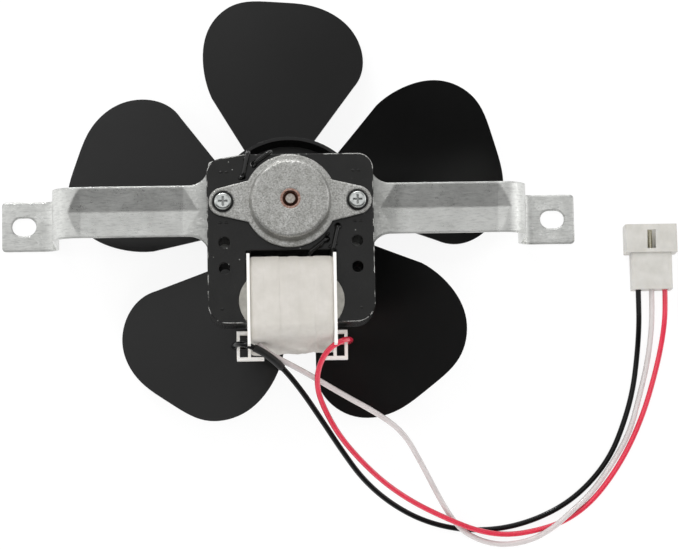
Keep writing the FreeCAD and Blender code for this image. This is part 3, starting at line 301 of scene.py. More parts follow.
# Past these lines lie the stack's outer corners. The edges of its holes and slots stay black.
SIDE_FROM = STACK_HIGH[0] - 0.0025
FOOT_BELOW = STACK_LOW[1] + 0.0024
TOP_ABOVE = STACK_HIGH[1] - 0.0058
lacquer = make_finish(
    "black_lacquer_on_steel", ("#080807", "#0f0f0e"), patch_mm=9.0, grain_mm=0.5, grain_depth_mm=0.02,
    roughness=0.33, roughness_spread=0.07, edge_mm=0.9, Specular_IOR_Level=0.42)
tree = lacquer.node_tree
place = tree.nodes["place"].outputs["Object"]
geometry = add_node(tree, "ShaderNodeNewGeometry")
turn_at_edge = add_node(tree, "ShaderNodeVectorMath", {
    0: tree.nodes["soft_edge"].outputs[0], 1: geometry.outputs["True Normal"]}, operation="DOT_PRODUCT")
worn = add_node(tree, "ShaderNodeMapRange", {
    "Value": turn_at_edge.outputs["Value"], "From Min": 0.98, "From Max": 0.88})
wear_patches = add_node(tree, "ShaderNodeTexNoise", {
    "Vector": place, "Scale": 1000 / WEAR_PATCH_MM, "Detail": 4.0})
patchy = add_node(tree, "ShaderNodeMapRange", {
    "Value": wear_patches.outputs[0], "From Min": 0.47, "From Max": 0.56})
stack_place = add_node(tree, "ShaderNodeSeparateXYZ", {"Vector": place})
sideways = add_node(tree, "ShaderNodeMath", {0: stack_place.outputs["X"]}, operation="ABSOLUTE")
at_side = add_node(tree, "ShaderNodeMath", {
    0: sideways.outputs[0], 1: SIDE_FROM}, operation="GREATER_THAN")
at_foot = add_node(tree, "ShaderNodeMath", {
    0: stack_place.outputs["Y"], 1: FOOT_BELOW}, operation="LESS_THAN")
at_top = add_node(tree, "ShaderNodeMath", {
    0: stack_place.outputs["Y"], 1: TOP_ABOVE}, operation="GREATER_THAN")
at_end = add_node(tree, "ShaderNodeMath", {
    0: at_foot.outputs[0], 1: at_top.outputs[0]}, operation="MAXIMUM")
at_outline = add_node(tree, "ShaderNodeMath", {
    0: at_side.outputs[0], 1: at_end.outputs[0]}, operation="MAXIMUM")
rubbed = add_node(tree, "ShaderNodeMath", {0: worn.outputs[0], 1: patchy.outputs[0]}, operation="MULTIPLY")
wear = add_node(tree, "ShaderNodeMath", {
    0: rubbed.outputs[0], 1: at_outline.outputs[0]}, operation="MULTIPLY")

# Dust and pinholes in the lacquer are sparse light specks.
DUST_SPACING_MM = 4.5
specks = add_node(tree, "ShaderNodeTexVoronoi", {
    "Vector": place, "Scale": 1000 / DUST_SPACING_MM, "Randomness": 1.0})
dust = add_node(tree, "ShaderNodeMapRange", {
    "Value": specks.outputs["Distance"], "From Min": 0.055, "From Max": 0.03, "To Max": 0.7})
marked = add_node(tree, "ShaderNodeMath", {0: wear.outputs[0], 1: dust.outputs[0]}, operation="MAXIMUM")
lacquer_tone = add_node(tree, "ShaderNodeMix", {
    0: marked.outputs[0], 6: tree.nodes["tone"].outputs[2], 7: linear("#f2f2ee")}, data_type="RGBA")
tree.links.new(lacquer_tone.outputs[2], tree.nodes["surface"].inputs["Base Color"])
dress(lacquer, "stator_stack")

# Over each sheet's edge the lacquer is thin, so the sides look a little greyer and streaky.
rim_lacquer = make_finish(
    "thin_lacquer_on_sheet_edges", ("#090908", "#1b1b1a"), patch_mm=2.5, grain_mm=0.4, grain_depth_mm=0.02,
    roughness=0.4, roughness_spread=0.08, Specular_IOR_Level=0.42)


def plain_object(name, coords, edges=()):
    """An object at the origin whose place is in its mesh of loose points or edges."""
    mesh = bpy.data.meshes.new(name)
    mesh.from_pydata(coords, edges, [])
    made = bpy.data.objects.new(name, mesh)
    scene.collection.objects.link(made)
    return made


def run_nodes(made, group, values):
    """Runs a node group on an object with these inputs, and keeps the result as a plain mesh."""
    modifier = made.modifiers.new("shape", "NODES")
    modifier.node_group = group
    sockets = {item.name: item.identifier for item in group.interface.items_tree if item.in_out == "INPUT"}
    for name, value in values.items():
        modifier[sockets[name]] = value
    bpy.context.view_layer.update()
    evaluated = made.evaluated_get(bpy.context.evaluated_depsgraph_get())
    finished = bpy.data.meshes.new_from_object(evaluated)
    made.modifiers.remove(modifier)
    made.data = finished
    return made


def new_group(name, inputs):
    """An empty geometry node group with named inputs."""
    group = bpy.data.node_groups.new(name, "GeometryNodeTree")
    group.interface.new_socket("Geometry", in_out="INPUT", socket_type="NodeSocketGeometry")
    for label, kind in inputs:
        group.interface.new_socket(label, in_out="INPUT", socket_type=f"NodeSocket{kind}")
    group.interface.new_socket("Geometry", in_out="OUTPUT", socket_type="NodeSocketGeometry")
    return group


def rounded_path(corners, steps):
    """Points along straight runs, in metres, with an arc of the stated radius at each corner."""
    points = []
    for index, (x, y, radius) in enumerate(corners):
        here = Vector((x, y, 0.0))
        if radius == 0.0:
            points.append(here / 1000)
            continue
        before = (Vector((*corners[index - 1][:2], 0.0)) - here).normalized()
        after = (Vector((*corners[(index + 1) % len(corners)][:2], 0.0)) - here).normalized()
        half = before.angle(after) / 2
        centre = here + (before + after).normalized() * (radius / math.sin(half))
        start = here + before * (radius / math.tan(half)) - centre
        end = here + after * (radius / math.tan(half)) - centre
        turned = start.angle(end) * (1 if start.cross(end).z > 0 else -1)
        for step in range(steps + 1):
            points.append((centre + Matrix.Rotation(turned * step / steps, 3, "Z") @ start) / 1000)
    return points


# Each sheet's rim stands a hair out from the block, so the sides look like the leaves of a book.
# Real sheets are 0.5 mm thick. These are a little coarser, so that the lines between them show.
LEG_INSIDE_MM = 27.0
SHOULDER_FROM_MM = 22.8
SHOULDER_DROP_MM = 3.0
SHOULDER_ROUND_MM, TOP_CORNER_MM, FOOT_CORNER_MM = 1.0, 7.5, 9.3
OUTLINE_ARC_STEPS = 8
left, foot, right, top = (value * 1000 for value in (*STACK_LOW[:2], *STACK_HIGH[:2]))
# x, y and corner radius along the stack's outline, from one leg's foot round to the other
stack_outline = (
    (-LEG_INSIDE_MM, foot, 0.0), (left, foot, FOOT_CORNER_MM),
    (left, top - SHOULDER_DROP_MM, TOP_CORNER_MM), (-SHOULDER_FROM_MM, top, SHOULDER_ROUND_MM),
    (right, top, TOP_CORNER_MM), (right, foot, FOOT_CORNER_MM), (LEG_INSIDE_MM, foot, 0.0),
)
LAMINATION_MM = 0.65
SHEET_SHARE = 0.72
RIM_STAND_OUT = 0.00009
group = new_group("lamination_rims", (
    ("Sheets", "Int"), ("Pitch", "Float"), ("Stand Out", "Float"), ("Finish", "Material")))
rim_inputs = add_node(group, "NodeGroupInput")
rim_curve = add_node(group, "GeometryNodeMeshToCurve", {"Mesh": rim_inputs.outputs["Geometry"]})
level_curve = add_node(group, "GeometryNodeSetCurveNormal", {"Curve": rim_curve.outputs[0]}, mode="Z_UP")
rim_height = add_node(group, "ShaderNodeMath", {
    0: rim_inputs.outputs["Pitch"], 1: SHEET_SHARE}, operation="MULTIPLY")
rim_depth = add_node(group, "ShaderNodeMath", {
    0: rim_inputs.outputs["Stand Out"], 1: 2.0}, operation="MULTIPLY")
rim_section = add_node(group, "GeometryNodeCurvePrimitiveQuadrilateral", {
    "Width": rim_depth.outputs[0], "Height": rim_height.outputs[0]})
rim_strip = add_node(group, "GeometryNodeCurveToMesh", {
    "Curve": level_curve.outputs[0], "Profile Curve": rim_section.outputs[0], "Fill Caps": True})
rim_step = add_node(group, "ShaderNodeCombineXYZ", {"Z": rim_inputs.outputs["Pitch"]})
rim_places = add_node(group, "GeometryNodeMeshLine", {
    "Count": rim_inputs.outputs["Sheets"], "Offset": rim_step.outputs[0]}, mode="OFFSET")
rim_copies = add_node(group, "GeometryNodeInstanceOnPoints", {
    "Points": rim_places.outputs[0], "Instance": rim_strip.outputs[0]})
rim_meshes = add_node(group, "GeometryNodeRealizeInstances", {"Geometry": rim_copies.outputs[0]})
rim_finish = add_node(group, "GeometryNodeSetMaterial", {
    "Geometry": rim_meshes.outputs[0], "Material": rim_inputs.outputs["Finish"]})
add_node(group, "NodeGroupOutput", {"Geometry": rim_finish.outputs[0]})

stack_height = STACK_REAR - STACK_FRONT
sheet_count = int(stack_height * 1000 / LAMINATION_MM)
first_sheet = STACK_FRONT + (stack_height - (sheet_count - 1) * LAMINATION_MM / 1000) / 2
rim_line = [point + Vector((0, 0, first_sheet))
            for point in rounded_path(stack_outline, OUTLINE_ARC_STEPS)]
sheet_rims = plain_object("sheet_rims", rim_line, [(i, i + 1) for i in range(len(rim_line) - 1)])
run_nodes(sheet_rims, group, {
    "Sheets": sheet_count, "Pitch": LAMINATION_MM / 1000, "Stand Out": RIM_STAND_OUT, "Finish": rim_lacquer})
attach(sheet_rims, "motor")

# The dimples that lock the sheets show as short lacquered lenses on both outer sheets, most of them
# in pairs.
DIMPLES_MM = ((31.1, 15.0), (33.9, 15.0), (31.6, -10.2), (34.6, -10.2), (34.2, -53.0))
DIMPLE_RADIUS = 0.00085
DIMPLE_HEIGHT = 0.00035
DIMPLE_LENGTHENED, DIMPLE_NARROWED = 1.25, 0.8
DIMPLE_SUNK_SHARE = 0.2
group = new_group("locking_dimples", (("Radius", "Float"), ("Height", "Float"), ("Finish", "Material")))
dimple_inputs = add_node(group, "NodeGroupInput")
dimple_places = add_node(group, "GeometryNodeMeshToPoints", {"Mesh": dimple_inputs.outputs["Geometry"]})
dimple_ball = add_node(group, "GeometryNodeMeshUVSphere", {
    "Segments": 16, "Rings": 10, "Radius": dimple_inputs.outputs["Radius"]})
flatness = add_node(group, "ShaderNodeMath", {
    0: dimple_inputs.outputs["Height"], 1: dimple_inputs.outputs["Radius"]}, operation="DIVIDE")
dimple_scale = add_node(group, "ShaderNodeCombineXYZ", {
    "X": DIMPLE_LENGTHENED, "Y": DIMPLE_NARROWED, "Z": flatness.outputs[0]})
dimple_lens = add_node(group, "GeometryNodeTransform", {
    "Geometry": dimple_ball.outputs[0], "Scale": dimple_scale.outputs[0]})
dimple_copies = add_node(group, "GeometryNodeInstanceOnPoints", {
    "Points": dimple_places.outputs[0], "Instance": dimple_lens.outputs[0]})
dimple_meshes = add_node(group, "GeometryNodeRealizeInstances", {"Geometry": dimple_copies.outputs[0]})
dimple_finish = add_node(group, "GeometryNodeSetMaterial", {
    "Geometry": dimple_meshes.outputs[0], "Material": dimple_inputs.outputs["Finish"]})
add_node(group, "NodeGroupOutput", {"Geometry": dimple_finish.outputs[0]})

sunk = DIMPLE_HEIGHT * DIMPLE_SUNK_SHARE
dimple_points = [(side * x / 1000, y / 1000, height) for x, y in DIMPLES_MM for side in (-1, 1)
                 for height in (STACK_REAR - sunk, STACK_FRONT + sunk)]
locking_dimples = run_nodes(plain_object("locking_dimples", dimple_points), group, {
    "Radius": DIMPLE_RADIUS, "Height": DIMPLE_HEIGHT, "Finish": rim_lacquer})
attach(locking_dimples, "motor")


# The shading rings are thick copper loops, closed through slots in the stack. They are dipped with
# it, and the lacquer that ran down them has set in beads where they enter their slots.

# The thick lacquer is deep black, with small sharp glints.
ring_lacquer = make_finish(
    "thick_lacquer_on_copper", ("#060605", "#0d0d0c"), patch_mm=3.0, grain_mm=1.2, grain_depth_mm=0.08,
    roughness=0.18, roughness_spread=0.05, Specular_IOR_Level=0.15, Coat_Weight=0.8, Coat_Roughness=0.04)
dress(ring_lacquer, "shading_ring_upper_outer", "shading_ring_upper_inner", "shading_ring_lower_outer",
      "shading_ring_lower_inner")

# x and y, width and height of each bead, in millimetres, on the rear sheet beside a ring's wire
BEADS_MM = (
    (-24.0, 12.3, 2.4, 1.5), (-17.4, 18.0, 2.3, 1.5), (-15.2, 20.2, 1.7, 1.1), (-21.9, 21.6, 1.8, 1.1),
    (23.6, -13.4, 2.4, 1.4), (21.8, -21.6, 2.2, 1.4), (17.6, -19.6, 2.6, 1.5), (14.8, -22.3, 2.1, 1.3),
    (11.6, -22.9, 1.7, 1.1), (19.6, -22.6, 1.9, 1.2), (18.2, -16.6, 1.8, 1.1),
)
BEAD_HALF_LENGTH, BEAD_HALF_WIDTH = 0.62, 0.5
BEAD_LEAN = 0.18
BEAD_SWELL = 0.28
SWELLS_PER_RADIUS = 1.7
NEXT_SWELL = 3.1
beads = bmesh.new()
for index, (x, y, width, height) in enumerate(BEADS_MM):
    bead = bmesh.ops.create_icosphere(beads, subdivisions=3, radius=1.0)
    for point in bead["verts"]:
        swell_place = point.co * SWELLS_PER_RADIUS + Vector((index * NEXT_SWELL, 0.0, 0.0))
        swell = 1.0 + BEAD_SWELL * noise.noise(swell_place)
        lean = BEAD_LEAN * point.co.x * width
        point.co = Vector((x + point.co.x * width * BEAD_HALF_LENGTH * swell,
                           y + point.co.y * width * BEAD_HALF_WIDTH * swell + lean,
                           STACK_REAR * 1000 + point.co.z * height * swell)) / 1000
bead_mesh = bpy.data.meshes.new("lacquer_beads")
beads.to_mesh(bead_mesh)
beads.free()
bead_mesh.shade_smooth()
bead_mesh.materials.append(ring_lacquer)
lacquer_beads = bpy.data.objects.new("lacquer_beads", bead_mesh)
scene.collection.objects.link(lacquer_beads)
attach(lacquer_beads, "motor")


# The yoke bar is sheared from bare steel and pressed between the legs of the stack. A thin oily
# film makes it a dull warm grey.
bare_steel = make_finish(
    "bare_steel", ("#b4b2ab", "#cbc9c2"), patch_mm=5.0, grain_mm=0.5, grain_depth_mm=0.03,
    roughness=0.48, roughness_spread=0.08, edge_mm=0.4, Metallic=1.0)
dress(bare_steel, "yoke_bar")


# The bobbin is moulded in unfilled nylon and slides on the yoke bar. It is white, smooth and a
# little waxy, and it lets some light through at its thin walls.
nylon = make_finish(
    "natural_nylon", ("#fbf8f2", "#fefcf8"), patch_mm=14.0, grain_mm=0.6, grain_depth_mm=0.008,
    roughness=0.42, edge_mm=0.3, Subsurface_Weight=0.15, Subsurface_Scale=0.002,
    Subsurface_Radius=(1.0, 0.9, 0.8))
dress(nylon, "coil_bobbin")


# The winding is enamelled copper wire under white cloth tape. The tape goes round and round it,
# so its edges make faint steps across, and the leads' joints beneath make the lower side bulge.
WINDING_LOW, WINDING_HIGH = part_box("coil_winding")
CHEEK_CLEARANCE_MM = 0.05
CHEEK_INSIDE_MM = WINDING_HIGH[0] * 1000 - CHEEK_CLEARANCE_MM
front, rear, upper = (value * 1000 for value in (WINDING_LOW[2], WINDING_HIGH[2], WINDING_HIGH[1]))
# y and z of the tape's fullest form, seen along the coil, and of the bobbin's tube under it
TAPE_CORNERS_MM = ((upper, front), (upper, rear), (-66.85, rear), (-74.6, 53.5), (-73.8, front))
TAPE_CORNER_ROUND_MM = 6.5
TUBE_LOW, TUBE_HIGH = (-61.5, 51.9), (-36.7, 80.5)
TAPE_ARC_STEPS = 10
TAPE_SECTIONS = 110
TAPE_AROUND = 150


def evenly_round(corners, count):
    """Points evenly spaced round a closed outline with arcs at its corners."""
    loose = [point * 1000 for point in rounded_path(corners, TAPE_ARC_STEPS)]
    loose.append(loose[0])
    runs = [(b - a).length for a, b in zip(loose, loose[1:])]
    total, wanted, index, passed = sum(runs), [], 0, 0.0
    for step in range(count):
        target = total * step / count
        while passed + runs[index] < target:
            passed += runs[index]
            index += 1
        wanted.append(loose[index].lerp(loose[index + 1], (target - passed) / runs[index]))
    return wanted


def onto_tube(point, middle):
    """The place on the bobbin's square tube that lies straight inwards from a point."""
    away = (point - middle).normalized()
    reach = min(((TUBE_HIGH[i] - TUBE_LOW[i]) / 2) / max(abs(away[i]), 1e-6) for i in (0, 1))
    return middle + away * reach


TAPE_THICKNESS_MM = 0.14
# where each turn of tape ends along the coil, and how many layers are missing before that edge
TAPE_EDGES_MM = ((-13.1, 1), (-6.0, 0), (-1.8, 2), (3.5, 1), (11.2, 2), (16.0, 0))
EDGE_WANDER_MM = 0.35
FULLEST_DEPTH_MM = 0.15
UNEVEN_MM = 0.28
# The loose end is stuck down left of this x, above this y and over this z.
LOOSE_END_MM = (-13.6, -50.8, 80.0)
LOOSE_END_LAYERS = 0.8
DRAWN_IN_MM, DRAWN_IN_REACH_MM = 0.9, 0.7
LOWER_SIDE_MM, LOWER_BEND_MM = -62.0, 8.0
SAG_MM, SAG_CHANGE_MM, SAG_SLOPE, SAG_LEVEL_MM = 1.0, 0.9, 0.05, -4.0
JOINT_DIP_MM = 0.5
LEAST_DEPTH_MM = 0.05


def tape_depth(x, y, z):
    """How far the tape lies inside its fullest form at one place, in millimetres."""
    missing = 0
    for edge, layers in TAPE_EDGES_MM:
        wander = EDGE_WANDER_MM * noise.noise(Vector((edge, y * 0.06, z * 0.06)))
        if x < edge + wander:
            missing = layers
            break
    depth = FULLEST_DEPTH_MM + TAPE_THICKNESS_MM * missing
    if x < LOOSE_END_MM[0] and y > LOOSE_END_MM[1] and z > LOOSE_END_MM[2]:
        depth -= TAPE_THICKNESS_MM * LOOSE_END_LAYERS
    depth += UNEVEN_MM * (0.5 + noise.noise(Vector((x * 0.22, y * 0.05, z * 0.05))))
    # The tape draws in beside each cheek, and sags between the joints on the lower side.
    depth += DRAWN_IN_MM * math.exp(-(CHEEK_INSIDE_MM - abs(x)) / DRAWN_IN_REACH_MM)
    lower = max(0.0, min(1.0, (LOWER_SIDE_MM - y) / LOWER_BEND_MM))
    sag = SAG_MM + SAG_CHANGE_MM * noise.noise(Vector((x * 0.16, 3.7, z * 0.03)))
    depth += lower * (sag + SAG_SLOPE * (x - SAG_LEVEL_MM))
    depth += lower * JOINT_DIP_MM * max(0.0, noise.noise(Vector((x * 0.5, y * 0.12, 8.0))))
    return max(depth, LEAST_DEPTH_MM)


tape_corners = [(*corner, TAPE_CORNER_ROUND_MM) for corner in TAPE_CORNERS_MM]
tape_outline = evenly_round(tape_corners, TAPE_AROUND)
tube_middle = Vector(((TUBE_LOW[0] + TUBE_HIGH[0]) / 2, (TUBE_LOW[1] + TUBE_HIGH[1]) / 2, 0.0))
outer_rings, inner_rings = [], []
tape_form = bmesh.new()
for section in range(TAPE_SECTIONS + 1):
    x = -CHEEK_INSIDE_MM + 2 * CHEEK_INSIDE_MM * section / TAPE_SECTIONS
    outer, inner = [], []
    for point in tape_outline:
        inward = (tube_middle - point).normalized()
        spot = point + inward * tape_depth(x, point.x, point.y)
        outer.append(tape_form.verts.new((x / 1000, spot.x / 1000, spot.y / 1000)))
        if section in (0, TAPE_SECTIONS):
            spot = onto_tube(point, tube_middle)
            inner.append(tape_form.verts.new((x / 1000, spot.x / 1000, spot.y / 1000)))
    outer_rings.append(outer)
    if inner:
        inner_rings.append(inner)
tape_loops = [inner_rings[0]] + outer_rings + [inner_rings[1], inner_rings[0]]
for first, second in zip(tape_loops, tape_loops[1:]):
    for index in range(TAPE_AROUND):
        after = (index + 1) % TAPE_AROUND
        tape_form.faces.new((first[index], first[after], second[after], second[index]))
bmesh.ops.recalc_face_normals(tape_form, faces=tape_form.faces)
tape_mesh = bpy.data.meshes.new("taped_winding")
tape_form.to_mesh(tape_mesh)
tape_form.free()
tape_mesh.shade_smooth()

# The tape is matt off-white cotton with faint stripes along its turns.
TAPE_STRIPE_MM = 4.0
ROUND_COIL = (1.0, 0.05, 0.05)
tape = make_finish(
    "white_cloth_tape", ("#c9c5be", "#d5d1cb"), patch_mm=9.0, grain_mm=0.5, grain_depth_mm=0.02,
    roughness=0.72, Sheen_Weight=0.15)
tree = tape.node_tree
place = tree.nodes["place"].outputs["Object"]
along_turns = add_node(tree, "ShaderNodeMapping", {"Vector": place, "Scale": ROUND_COIL})
stripes = add_node(tree, "ShaderNodeTexNoise", {
    "Vector": along_turns.outputs[0], "Scale": 1000 / TAPE_STRIPE_MM, "Detail": 3.0, "Roughness": 0.65})
stripe_share = add_node(tree, "ShaderNodeMapRange", {
    "Value": stripes.outputs[0], "From Min": 0.35, "From Max": 0.65, "To Max": 0.45})
striped = add_node(tree, "ShaderNodeMix", {
    0: stripe_share.outputs[0], 6: tree.nodes["tone"].outputs[2], 7: linear("#cfcbc3")}, data_type="RGBA")

# The tape's upper edge, beside the stack and cap, is painted greyer as shade.
TOP_SHADE_REACH_MM = (-36.0, -28.5)
tape_place = add_node(tree, "ShaderNodeSeparateXYZ", {"Vector": place})
top_shade = add_node(tree, "ShaderNodeMapRange", {
    "Value": tape_place.outputs["Y"], "From Min": TOP_SHADE_REACH_MM[0] / 1000,
    "From Max": TOP_SHADE_REACH_MM[1] / 1000, "To Max": 0.55}, interpolation_type="SMOOTHSTEP")
# painted shade: the tape's tone is mixed towards grey near its upper edge
top_shaded = add_node(tree, "ShaderNodeMix", {
    0: top_shade.outputs[0], 6: striped.outputs[2], 7: linear("#a8a49b")}, data_type="RGBA")
tree.links.new(top_shaded.outputs[2], tree.nodes["surface"].inputs["Base Color"])

# The cloth's threads cross square to each other. Real ones are half as wide, too fine to show.
TAPE_THREAD_MM = 0.45
TAPE_THREAD_DEPTH = 0.00004
thread_turns = 2 * math.pi * 1000 / TAPE_THREAD_MM
threads = add_node(tree, "ShaderNodeVectorMath", {0: place, 1: (thread_turns,) * 3}, operation="MULTIPLY")
thread_places = add_node(tree, "ShaderNodeSeparateXYZ", {"Vector": threads.outputs[0]})
warp = add_node(tree, "ShaderNodeMath", {0: thread_places.outputs["X"]}, operation="SINE")
weft_place = add_node(tree, "ShaderNodeMath", {
    0: thread_places.outputs["Y"], 1: thread_places.outputs["Z"]}, operation="ADD")
weft = add_node(tree, "ShaderNodeMath", {0: weft_place.outputs[0]}, operation="SINE")
weave = add_node(tree, "ShaderNodeMath", {0: warp.outputs[0], 1: weft.outputs[0]}, operation="MULTIPLY")
weave_bump = add_node(tree, "ShaderNodeBump", {
    "Height": weave.outputs[0], "Distance": TAPE_THREAD_DEPTH, "Strength": 0.6,
    "Normal": tree.nodes["bump"].outputs[0]})
tree.links.new(weave_bump.outputs[0], tree.nodes["surface"].inputs["Normal"])
tape_mesh.materials.append(tape)
taped_winding = bpy.data.objects.new("taped_winding", tape_mesh)
scene.collection.objects.link(taped_winding)
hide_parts("coil_winding")
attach(taped_winding, "motor")


# The rotor turns with the fan: a laminated core with a cast aluminium cage on a ground shaft. A
# plain plastic washer at each end takes the thrust.

# The core is dark steel, turned to size, so its sheets no longer show.
rotor_steel = make_finish(
    "rotor_laminations", ("#5d5d5b", "#71716e"), patch_mm=3.0, grain_mm=0.3, grain_depth_mm=0.015,
    roughness=0.45, Metallic=1.0)
dress(rotor_steel, "rotor_core")
# The cage is pale and matt, as cast.
cast_aluminium = make_finish(
    "cast_aluminium", ("#b0b1b3", "#c4c5c6"), patch_mm=4.0, grain_mm=0.4, grain_depth_mm=0.03,
    roughness=0.45, edge_mm=0.2, Metallic=1.0)
dress(cast_aluminium, "rotor_cage")
# The shaft is bright and smooth, with a warm cast from the bronze and the oil round it.
ground_steel = make_finish(
    "ground_steel", ("#a29a92", "#c4beb8"), patch_mm=1.2, grain_mm=0.2, grain_depth_mm=0.01,
    roughness=0.3, edge_mm=0.2, Metallic=1.0)
dress(ground_steel, "motor_shaft")
# The washers are cream-coloured and satin.
washer_plastic = make_finish(
    "plain_plastic_washer", ("#cfc9b8", "#ddd8c9"), patch_mm=3.0, grain_mm=0.3, grain_depth_mm=0.01,
    roughness=0.5)
dress(washer_plastic, "rear_thrust_washer", "front_thrust_washer")


# The bearing caps are die-cast zinc, clamped to the stack by the screws through their ears. Each
# holds a sintered bronze bush soaked with oil, a felt and a spring disc.

# The die leaves the zinc light grey, matt and speckled with darker grain. Its real grain is
# about half as wide, too fine to show.
DIE_GRAIN_MM = 0.75
die_cast = make_finish(
    "die_cast_zinc", ("#c3c3bf", "#d9d9d6"), patch_mm=5.0, grain_mm=0.8, grain_depth_mm=0.24,
    roughness=0.36, roughness_spread=0.12, edge_mm=1.3, Metallic=0.95)
tree = die_cast.node_tree
place = tree.nodes["place"].outputs["Object"]
die_grain = add_node(tree, "ShaderNodeTexNoise", {
    "Vector": place, "Scale": 1000 / DIE_GRAIN_MM, "Detail": 4.0, "Roughness": 0.7})
die_share = add_node(tree, "ShaderNodeMapRange", {
    "Value": die_grain.outputs[0], "From Min": 0.44, "From Max": 0.62, "To Max": 0.62})
grained = add_node(tree, "ShaderNodeMix", {
    0: die_share.outputs[0], 6: tree.nodes["tone"].outputs[2], 7: linear("#77756f")}, data_type="RGBA")
tree.links.new(grained.outputs[2], tree.nodes["surface"].inputs["Base Color"])
dress(die_cast, "rear_bearing_cap", "front_bearing_cap")

# The bush is a pinkish brown metal. Its mouth round the shaft is painted dark, for oil and for painted shade
# in the recess.
BUSH_LIP_MM = (3.6, 3.9)
bronze = make_finish(
    "oily_sintered_bronze", ("#8a5f50", "#cdb0a4"), patch_mm=1.2, grain_mm=0.25, grain_depth_mm=0.02,
    roughness=0.36, edge_mm=0.25, Metallic=1.0)
tree = bronze.node_tree
place = tree.nodes["place"].outputs["Object"]
bush_place = add_node(tree, "ShaderNodeSeparateXYZ", {"Vector": place})
bush_flat = add_node(tree, "ShaderNodeCombineXYZ", {
    "X": bush_place.outputs["X"], "Y": bush_place.outputs["Y"]})
from_axis = add_node(tree, "ShaderNodeVectorMath", {0: bush_flat.outputs[0]}, operation="LENGTH")
lip = add_node(tree, "ShaderNodeMapRange", {
    "Value": from_axis.outputs["Value"], "From Min": BUSH_LIP_MM[0] / 1000,
    "From Max": BUSH_LIP_MM[1] / 1000})
# oil and painted shade: inside the lip the bush's tone turns dark brown
oil_and_shade = add_node(tree, "ShaderNodeMix", {
    0: lip.outputs[0], 6: linear("#3a241c"), 7: tree.nodes["tone"].outputs[2]}, data_type="RGBA")
tree.links.new(oil_and_shade.outputs[2], tree.nodes["surface"].inputs["Base Color"])
dress(bronze, "rear_bearing", "front_bearing")
# The felts are pressed wool, brown with oil.
felt = make_finish(
    "oil_felt", ("#8a7a55", "#a3936c"), patch_mm=2.0, grain_mm=0.3, grain_depth_mm=0.08,
    roughness=0.9, Sheen_Weight=0.3)
dress(felt, "rear_oil_felt", "front_oil_felt")
# Hardened and tempered strip is darker than the sheet, and smooth.
spring_steel = make_finish(
    "spring_steel", ("#7c7c7c", "#929292"), patch_mm=4.0, grain_mm=0.3, grain_depth_mm=0.01,
    roughness=0.32, edge_mm=0.1, Metallic=1.0)
dress(spring_steel, "rear_felt_retainer", "front_felt_retainer", "fan_clip")


# Two steel screws go through the caps, the stack and the bracket, each on a black fibre washer and
# with a nut in front.

# Their zinc plate is bright and faintly cool. Below the head's top it is painted darker, as dirt and painted
# shade in the cross recesses.
SCREW_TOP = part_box("screw_left")[1][2]
DIRT_AND_SHADE_FROM, DIRT_AND_SHADE_FULL = SCREW_TOP - 0.0004, SCREW_TOP - 0.0014
zinc_plate = make_finish(
    "bright_zinc_plate", ("#bfc3c1", "#dee1df"), patch_mm=1.5, grain_mm=0.4, grain_depth_mm=0.03,
    roughness=0.22, edge_mm=0.3, Metallic=1.0)
tree = zinc_plate.node_tree
place = tree.nodes["place"].outputs["Object"]
screw_place = add_node(tree, "ShaderNodeSeparateXYZ", {"Vector": place})
recess = add_node(tree, "ShaderNodeMapRange", {
    "Value": screw_place.outputs["Z"], "From Min": DIRT_AND_SHADE_FROM, "From Max": DIRT_AND_SHADE_FULL, "To Max": 0.6})
# dirt and painted shade: the plate's tone is mixed towards dark grey below the head's top
dirt_and_shade = add_node(tree, "ShaderNodeMix", {
    0: recess.outputs[0], 6: tree.nodes["tone"].outputs[2], 7: linear("#3b3c3a")}, data_type="RGBA")
tree.links.new(dirt_and_shade.outputs[2], tree.nodes["surface"].inputs["Base Color"])
dress(zinc_plate, "screw_left", "screw_right")
# The nuts are plated in bulk, so they are duller.
nut_plate = make_finish(
    "zinc_plated_nut", ("#a9acab", "#c9cccb"), patch_mm=1.5, grain_mm=0.4, grain_depth_mm=0.03,
    roughness=0.32, edge_mm=0.3, Metallic=1.0)
dress(nut_plate, "nut_left", "nut_right")
# Vulcanised fibre is matt black.
fibre = make_finish(
    "black_fibre", ("#0c0c0c", "#151515"), patch_mm=2.0, grain_mm=0.3, grain_depth_mm=0.02,
    roughness=0.6)
dress(fibre, "washer_left", "washer_right")


# The fan is one moulding of black polypropylene, pushed on the shaft and held by a spring clip.
# Its satin face mirrors the room softly, so each blade has its own shade of black.
fan_plastic = make_finish(
    "black_polypropylene", ("#040404", "#070707"), patch_mm=40.0, grain_mm=0.8, grain_depth_mm=0.008,
    roughness=0.33, roughness_spread=0.04, edge_mm=0.3, Specular_IOR_Level=0.42)
dress(fan_plastic, "fan")


# The leads are stranded wire in soft plastic covers. Each is hooked round its terminal frame on
# the bobbin or comes from under the tape, crosses the fan's edge, and lies on the table as far as
# the plug.
def middle_of(name, axis):
    """Where the middle of a CAD node lies along one axis."""
    low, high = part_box(name)
    return (low[axis] + high[axis]) / 2


LEAD_DIAMETER = 0.0028
PLUG_CENTRE = middle_of("plug_contact_middle", 0)
CONTACT_PITCH = middle_of("plug_contact_right", 0) - PLUG_CENTRE
LEAD_HEIGHT = middle_of("plug_contact_middle", 2)
LEAD_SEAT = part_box("black_lead")[1][1]
